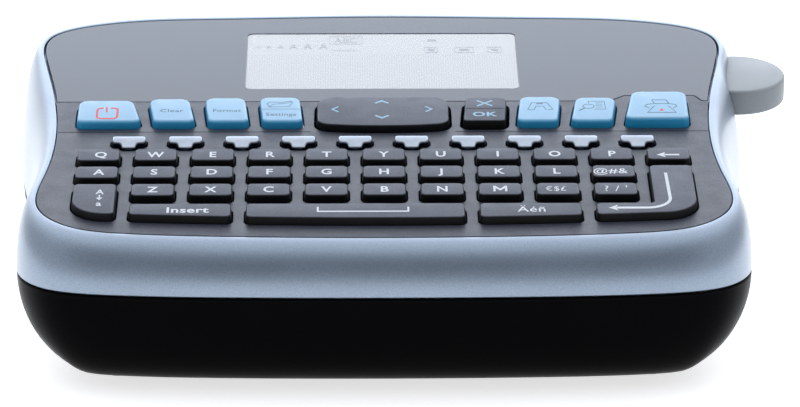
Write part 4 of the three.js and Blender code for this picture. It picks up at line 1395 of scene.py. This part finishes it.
def save_key():
    made = function_cap("save_key")
    z = FUNCTION_Z
    body = [(33.5, 66.5), (32.2, 66.6), (33.2, 70.7), (36.6, 70.7), (37.8, 66.8), (36.6, 66.5)]
    made.ribbon(body, 0.15, z, 1)
    made.ribbon([(33.6, 66.4), (34.1, 68.6), (35.8, 68.6), (36.3, 66.4)], 0.15, z, 1)
    made.ribbon([(34.2, 70.1), (35.7, 70.1)], 0.3, z, 1)
    return made


def preview_key():
    made = function_cap("preview_key")
    z = FUNCTION_Z
    made.ribbon(circle(45.8, 68.5, 1.25), 0.16, z, 1, closed=True)
    made.ribbon([(44.9, 67.4), (43.6, 66.0)], 0.3, z, 1)
    made.ribbon([(46.0, 70.2), (45.8, 71.5), (49.4, 71.5), (49.6, 66.8), (47.0, 66.8)], 0.14, z, 1)
    for i in range(4):
        along = 70.5 - 0.85 * i
        made.ribbon([(47.4, along), (48.9, along)], 0.12, z, 1)
    return made


def print_key():
    made = function_cap("print_key")
    z = FUNCTION_KEYS["print_key"].height + PRINT_LIFT
    body = [(60.0, 71.0), (60.5, 68.8), (58.9, 68.4), (58.3, 67.2), (59.3, 66.2)]
    made.ribbon(body, 0.18, z, 1)
    made.ribbon([(60.0, 71.0), (63.2, 71.0), (63.7, 68.8)], 0.18, z, 1)
    made.ribbon([(60.5, 68.8), (63.7, 68.8), (65.2, 68.2), (65.4, 67.2), (64.5, 66.2)], 0.18, z, 1)
    made.ribbon([(60.4, 67.4), (58.7, 63.6), (65.1, 63.6), (63.5, 67.4)], 0.18, z, 1)
    made.add([(61.3, 64.6, z), (62.5, 64.6, z), (61.9, 66.0, z)], [[0, 1, 2]], 2)
    return made


def navigation_pad():
    made = Piece()
    cap(made, pad_outline(), PAD_HEIGHT)
    z, reach, half = PAD_HEIGHT + PRINT_LIFT, 0.7, 1.5
    for x, along, turn in ((-10.6, 67.6, 0), (10.2, 67.6, 180), (-0.2, 71.8, -90), (-0.2, 63.2, 90)):
        angle = math.radians(turn)
        path = []
        for dx, dy in ((reach, half), (-reach, 0), (reach, -half)):
            path.append((
                x + dx * math.cos(angle) - dy * math.sin(angle),
                along + dx * math.sin(angle) + dy * math.cos(angle),
            ))
        made.ribbon(path, 0.42, z, 1)
    return made.make("pad", IN_DECK, [KEY, BLUE_PRINT])


def rocker():
    made = Piece()
    cap(made, slant_outline(ROCKER, 1.1), ROCKER.height)
    z = ROCKER.height + PRINT_LIFT
    middle_x, middle = 22.7, 70.2
    tall, wide, half = 1.6, 1.7, 0.25
    for side in (-1, 1):
        upper = [(middle_x - side * wide, middle + tall), (middle_x - side * half, middle + half)]
        lower = [(middle_x + side * half, middle - half), (middle_x + side * wide, middle - tall)]
        made.ribbon(upper, 0.42, z, 1)
        made.ribbon(lower, 0.42, z, 1)
    made.add(
        [(middle_x - 0.5, middle, z), (middle_x, middle - 0.5, z), (middle_x + 0.5, middle, z),
         (middle_x, middle + 0.5, z)], [[0, 1, 2, 3]], 1,
    )
    made.text("OK", 22.5, 63.9, z, 2.5, 1, 1.02)
    # A black line across the rocker: painted shade of a groove.
    made.ribbon([(18.4, 67.2), (27.2, 67.2)], 0.16, z, 2)
    return made.make("rocker", IN_DECK, [KEY, BLUE_PRINT, GROOVE_SHADE])


def place_key(made, node, paints, slot):
    thing = made.make(node.replace("_key", "") + "_cap", IN_DECK, paints)
    place_piece(thing, node, slot, node)


def build_keys():
    for name in LETTER_ROWS:
        place_key(letter_row(name), name, DARK_PAINTS, "dark_keys")
    specials = (backspace_key, caps_key, insert_key, space_bar, accent_key, enter_key)
    for draw in specials:
        made = Piece()
        draw(made)
        place_key(made, draw.__name__, DARK_PAINTS, "dark_keys")
    functions = {
        "power_key": power_key(),
        "clear_key": worded_key("clear_key", "Clear", -46.9, 0.9),
        "format_key": worded_key("format_key", "Format", -34.7, 0.82),
        "settings_key": settings_key(),
        "save_key": save_key(),
        "preview_key": preview_key(),
        "print_key": print_key(),
    }
    for name, made in functions.items():
        place_key(made, name, FUNCTION_PAINTS, "blue_keys")
    for i in range(10):
        place_key(number_key(number_x(i)), f"number_key_{(i + 1) % 10}", [PLATING], "number_keys")
    place_piece(navigation_pad(), "navigation_pad", "deck", "navigation_pad")
    place_piece(rocker(), "ok_cancel_rocker", "dark_keys", "ok_cancel_rocker")


# ---- Cutter and mechanism -----------------------------------------------------------------


def cutting_lever():
    """A flat disc with soft edges, half of it inside the case, on the arm of its carriage."""
    edge = 0.7
    rings = []
    for angle in quarter(5):
        inset, rise = edge * (1 - math.sin(angle)), edge * (1 - math.cos(angle))
        rings.append(at_height(circle(0, 0, LEVER_RADIUS - inset, 96), rise - LEVER_THICKNESS))
    for angle in quarter(5):
        inset, rise = edge * (1 - math.cos(angle)), edge * math.sin(angle)
        rings.append(at_height(circle(0, 0, LEVER_RADIUS - inset, 96), rise - edge))
    made = Piece()
    made.skin(rings)
    return made.make("cutting_lever", in_lever(), [LEVER])


def cutter_carriage():
    """The slide inside the case that carries the lever, with bores for its two rods."""
    top, bottom = LEVER_TOP - 3.4, LEVER_TOP - 7.4
    made = Piece()
    holes = [circle(ROD_X, y, ROD_BORE) for y in (ROD_FRONT, ROD_REAR)]
    plate(made, [rounded(rectangle(56, 66, 28.5, 59.5), 1.5), *holes], bottom, top, 0.3)
    arm = rounded(rectangle(66, 74, 31, 41), 0.8)
    made.skin([at_height(arm, bottom + 0.8), at_height(arm, top - 0.01)])
    return made.make("cutter_carriage", IN_CASE, [LEVER])


def spring():
    """A round wire wound into a compression spring, with its ends closed."""
    low, high = (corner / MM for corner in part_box("cutter_spring"))
    middle = (low + high) / 2
    turns, wire = 7, 0.4
    coil = (high.x - low.x) / 2 - wire
    steps = turns * 28
    rings = []
    for i in range(steps + 1):
        t = i / steps
        angle = 2 * math.pi * turns * t
        z = low.z + wire + (high.z - low.z - 2 * wire) * (t - math.sin(2 * math.pi * t) / 9)
        ring = []
        for turn in (2 * math.pi * k / 8 for k in range(8)):
            reach = coil + wire * math.cos(turn)
            ring.append((
                middle.x + reach * math.cos(angle), middle.y + reach * math.sin(angle),
                z + wire * math.sin(turn),
            ))
        rings.append(ring)
    made = Piece()
    made.skin(rings)
    thing = made.make("return_spring", Matrix.Identity(4), [STEEL_ALONG_Z], math.radians(60))
    place_piece(thing, "root", "steel", "cutter_spring")
    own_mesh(thing)


CAD_FINISHES = {
    "door_hinge_pin": STEEL_ALONG_X,
    "mechanism_chassis": STEEL_ALONG_X,
    "drive_motor": STEEL_ALONG_X,
    "print_head": STEEL_ALONG_X,
    "cutter_blade": STEEL_ALONG_Z,
    "guide_rod_front": STEEL_ALONG_Z,
    "guide_rod_rear": STEEL_ALONG_Z,
    "platen_gear": WHITE_PLASTIC,
    "idler_gear": WHITE_PLASTIC,
    "motor_pinion": WHITE_PLASTIC,
    "tape_cassette": WHITE_PLASTIC,
    "navigation_gimbal": BLACK,
    "platen_roller": RUBBER,
    "key_membrane": RUBBER,
    "battery_pack": SLEEVE,
    "main_board": BOARD,
    "tape_spool": TAPE,
}


def build_mechanism():
    place_piece(cutting_lever(), "cutter", "lever", "cutter_paddle")
    place_piece(cutter_carriage(), "cutter", "lever")
    spring()
    for node, paint in CAD_FINISHES.items():
        thing = frame["nodes"][node]
        thing.data.materials.clear()
        thing.data.materials.append(paint)
        bevel = thing.modifiers.new("soft_edges", "BEVEL")
        bevel.width = 0.15 * MM
        bevel.segments = 2
        bevel.limit_method = "ANGLE"
        bevel.angle_limit = math.radians(40)


# ---- Stage --------------------------------------------------------------------------------


def white_floor():
    made = Finish(
        "floor", Specular_IOR_Level=0.1, Emission_Color=(1, 1, 1, 1), Emission_Strength=0.7
    )
    slow = made.noise(60, detail=2)
    made.colour(made.tones(slow, (0.93, 0.93, 0.93), (0.95, 0.95, 0.95)))
    made.roughness(slow, 0.6, 0.7)
    piece = Piece()
    disc = circle(0, 0, 3000, 64)
    piece.skin([at_height(disc, -20), at_height(disc, 0)])
    floor = piece.make("floor", Matrix.Identity(4), [made.material])


def card(name, middle, width, height, facing, low, high):
    """A glowing card whose brightness changes from its lower to its upper edge."""
    material = bpy.data.materials.new(name)
    material.use_nodes = True
    tree = material.node_tree
    tree.nodes.clear()
    place = tree.nodes.new("ShaderNodeTexCoord")
    apart = tree.nodes.new("ShaderNodeSeparateXYZ")
    ramp = tree.nodes.new("ShaderNodeMapRange")
    ramp.inputs["To Min"].default_value = low
    ramp.inputs["To Max"].default_value = high
    glow = tree.nodes.new("ShaderNodeEmission")
    glow.inputs["Color"].default_value = (0.92, 1.0, 1.13, 1)
    output = tree.nodes.new("ShaderNodeOutputMaterial")
    tree.links.new(place.outputs["Generated"], apart.inputs["Vector"])
    tree.links.new(apart.outputs["Y"], ramp.inputs["Value"])
    tree.links.new(ramp.outputs["Result"], glow.inputs["Strength"])
    tree.links.new(glow.outputs["Emission"], output.inputs["Surface"])
    mesh = bpy.data.meshes.new(name)
    x, y = width / 2 * MM, height / 2 * MM
    mesh.from_pydata([(-x, -y, 0), (x, -y, 0), (x, y, 0), (-x, y, 0)], [], [[0, 1, 2, 3]])
    mesh.materials.append(material)
    thing = bpy.data.objects.new(name, mesh)
    thing.location = Vector(middle) * MM
    thing.rotation_euler = Vector(facing).to_track_quat("Z", "Y").to_euler()
    thing.visible_camera = False
    bpy.context.scene.collection.objects.link(thing)


# Brightness of the studio against the sine of the elevation, and its tint.
FRONT_SKY = ((0.0, 0.3), (0.25, 0.36), (0.6, 0.2), (0.9, 0.45), (1.0, 1.1))
REAR_SKY = ((0.0, 1.6), (0.3, 1.5), (0.65, 1.5), (1.0, 1.3))
SIDE_SKY = ((0.0, 0.6), (0.5, 0.62), (1.0, 0.8))
COOL = (0.96, 1.0, 1.06)


def studio_world():
    """A soft studio: dark in front, lighter overhead and at the sides, brightest low behind."""
    world = bpy.data.worlds.new("studio")
    bpy.context.scene.world = world
    world.use_nodes = True
    tree = world.node_tree
    place = tree.nodes.new("ShaderNodeTexCoord")
    apart = tree.nodes.new("ShaderNodeSeparateXYZ")
    tree.links.new(place.outputs["Generated"], apart.inputs["Vector"])
    front = sky_ramp(tree, apart.outputs["Z"], FRONT_SKY)
    rear = sky_ramp(tree, apart.outputs["Z"], REAR_SKY)
    side = sky_ramp(tree, apart.outputs["Z"], SIDE_SKY)
    sideways = tree.nodes.new("ShaderNodeMath")
    sideways.operation = "ABSOLUTE"
    tree.links.new(apart.outputs["X"], sideways.inputs[0])
    along = sky_mix(tree, apart.outputs["Y"], -0.3, 0.35, front, rear)
    around = sky_mix(tree, sideways.outputs["Value"], 0.35, 0.8, along, side)
    tree.links.new(around, tree.nodes["Background"].inputs["Color"])


def sky_ramp(tree, height, stops):
    node = tree.nodes.new("ShaderNodeValToRGB")
    ramp = node.color_ramp
    while len(ramp.elements) < len(stops):
        ramp.elements.new(0.5)
    for element, (position, value) in zip(ramp.elements, stops):
        element.position = position
        element.color = (value * COOL[0], value * COOL[1], value * COOL[2], 1)
    tree.links.new(height, node.inputs["Fac"])
    return node.outputs["Color"]


def sky_mix(tree, amount, start, end, first, second):
    """Passes from one part of the sky to another as the amount goes from start to end."""
    smooth = tree.nodes.new("ShaderNodeMapRange")
    smooth.interpolation_type = "SMOOTHSTEP"
    smooth.inputs["From Min"].default_value = start
    smooth.inputs["From Max"].default_value = end
    tree.links.new(amount, smooth.inputs["Value"])
    mix = tree.nodes.new("ShaderNodeMix")
    mix.data_type = "RGBA"
    tree.links.new(smooth.outputs["Result"], mix.inputs["Factor"])
    tree.links.new(first, mix.inputs["A"])
    tree.links.new(second, mix.inputs["B"])
    return mix.outputs["Result"]


def build_stage():
    white_floor()
    studio_world()
    card("rear_card", (0, 300, 200), 420, 240, (0, -1, 0), 3.2, 1.5)


def build_camera():
    """The view: 14 degrees above the horizon, from 1.1 metres."""
    elevation, azimuth, distance = math.radians(14), math.radians(-0.4), 1100
    middle = CASE_ORIGIN + Vector((0, 0, 30))
    back = Vector((
        math.sin(azimuth) * math.cos(elevation), -math.cos(azimuth) * math.cos(elevation),
        math.sin(elevation),
    ))
    aim = CASE_ORIGIN + Vector((3.8, -1.3, 24.8))
    camera = bpy.data.cameras.new("camera")
    camera.sensor_width = 36
    camera.lens = 221.8
    camera.clip_end = 20
    thing = bpy.data.objects.new("camera", camera)
    thing.location = (middle + back * distance) * MM
    thing.rotation_euler = (aim * MM - thing.location).to_track_quat("-Z", "Y").to_euler()
    bpy.context.scene.collection.objects.link(thing)
    bpy.context.scene.camera = thing


build_camera()
build_stage()
build_case()
build_deck()
build_keys()
build_mechanism()
bpy.context.scene.view_settings.view_transform = "Standard"
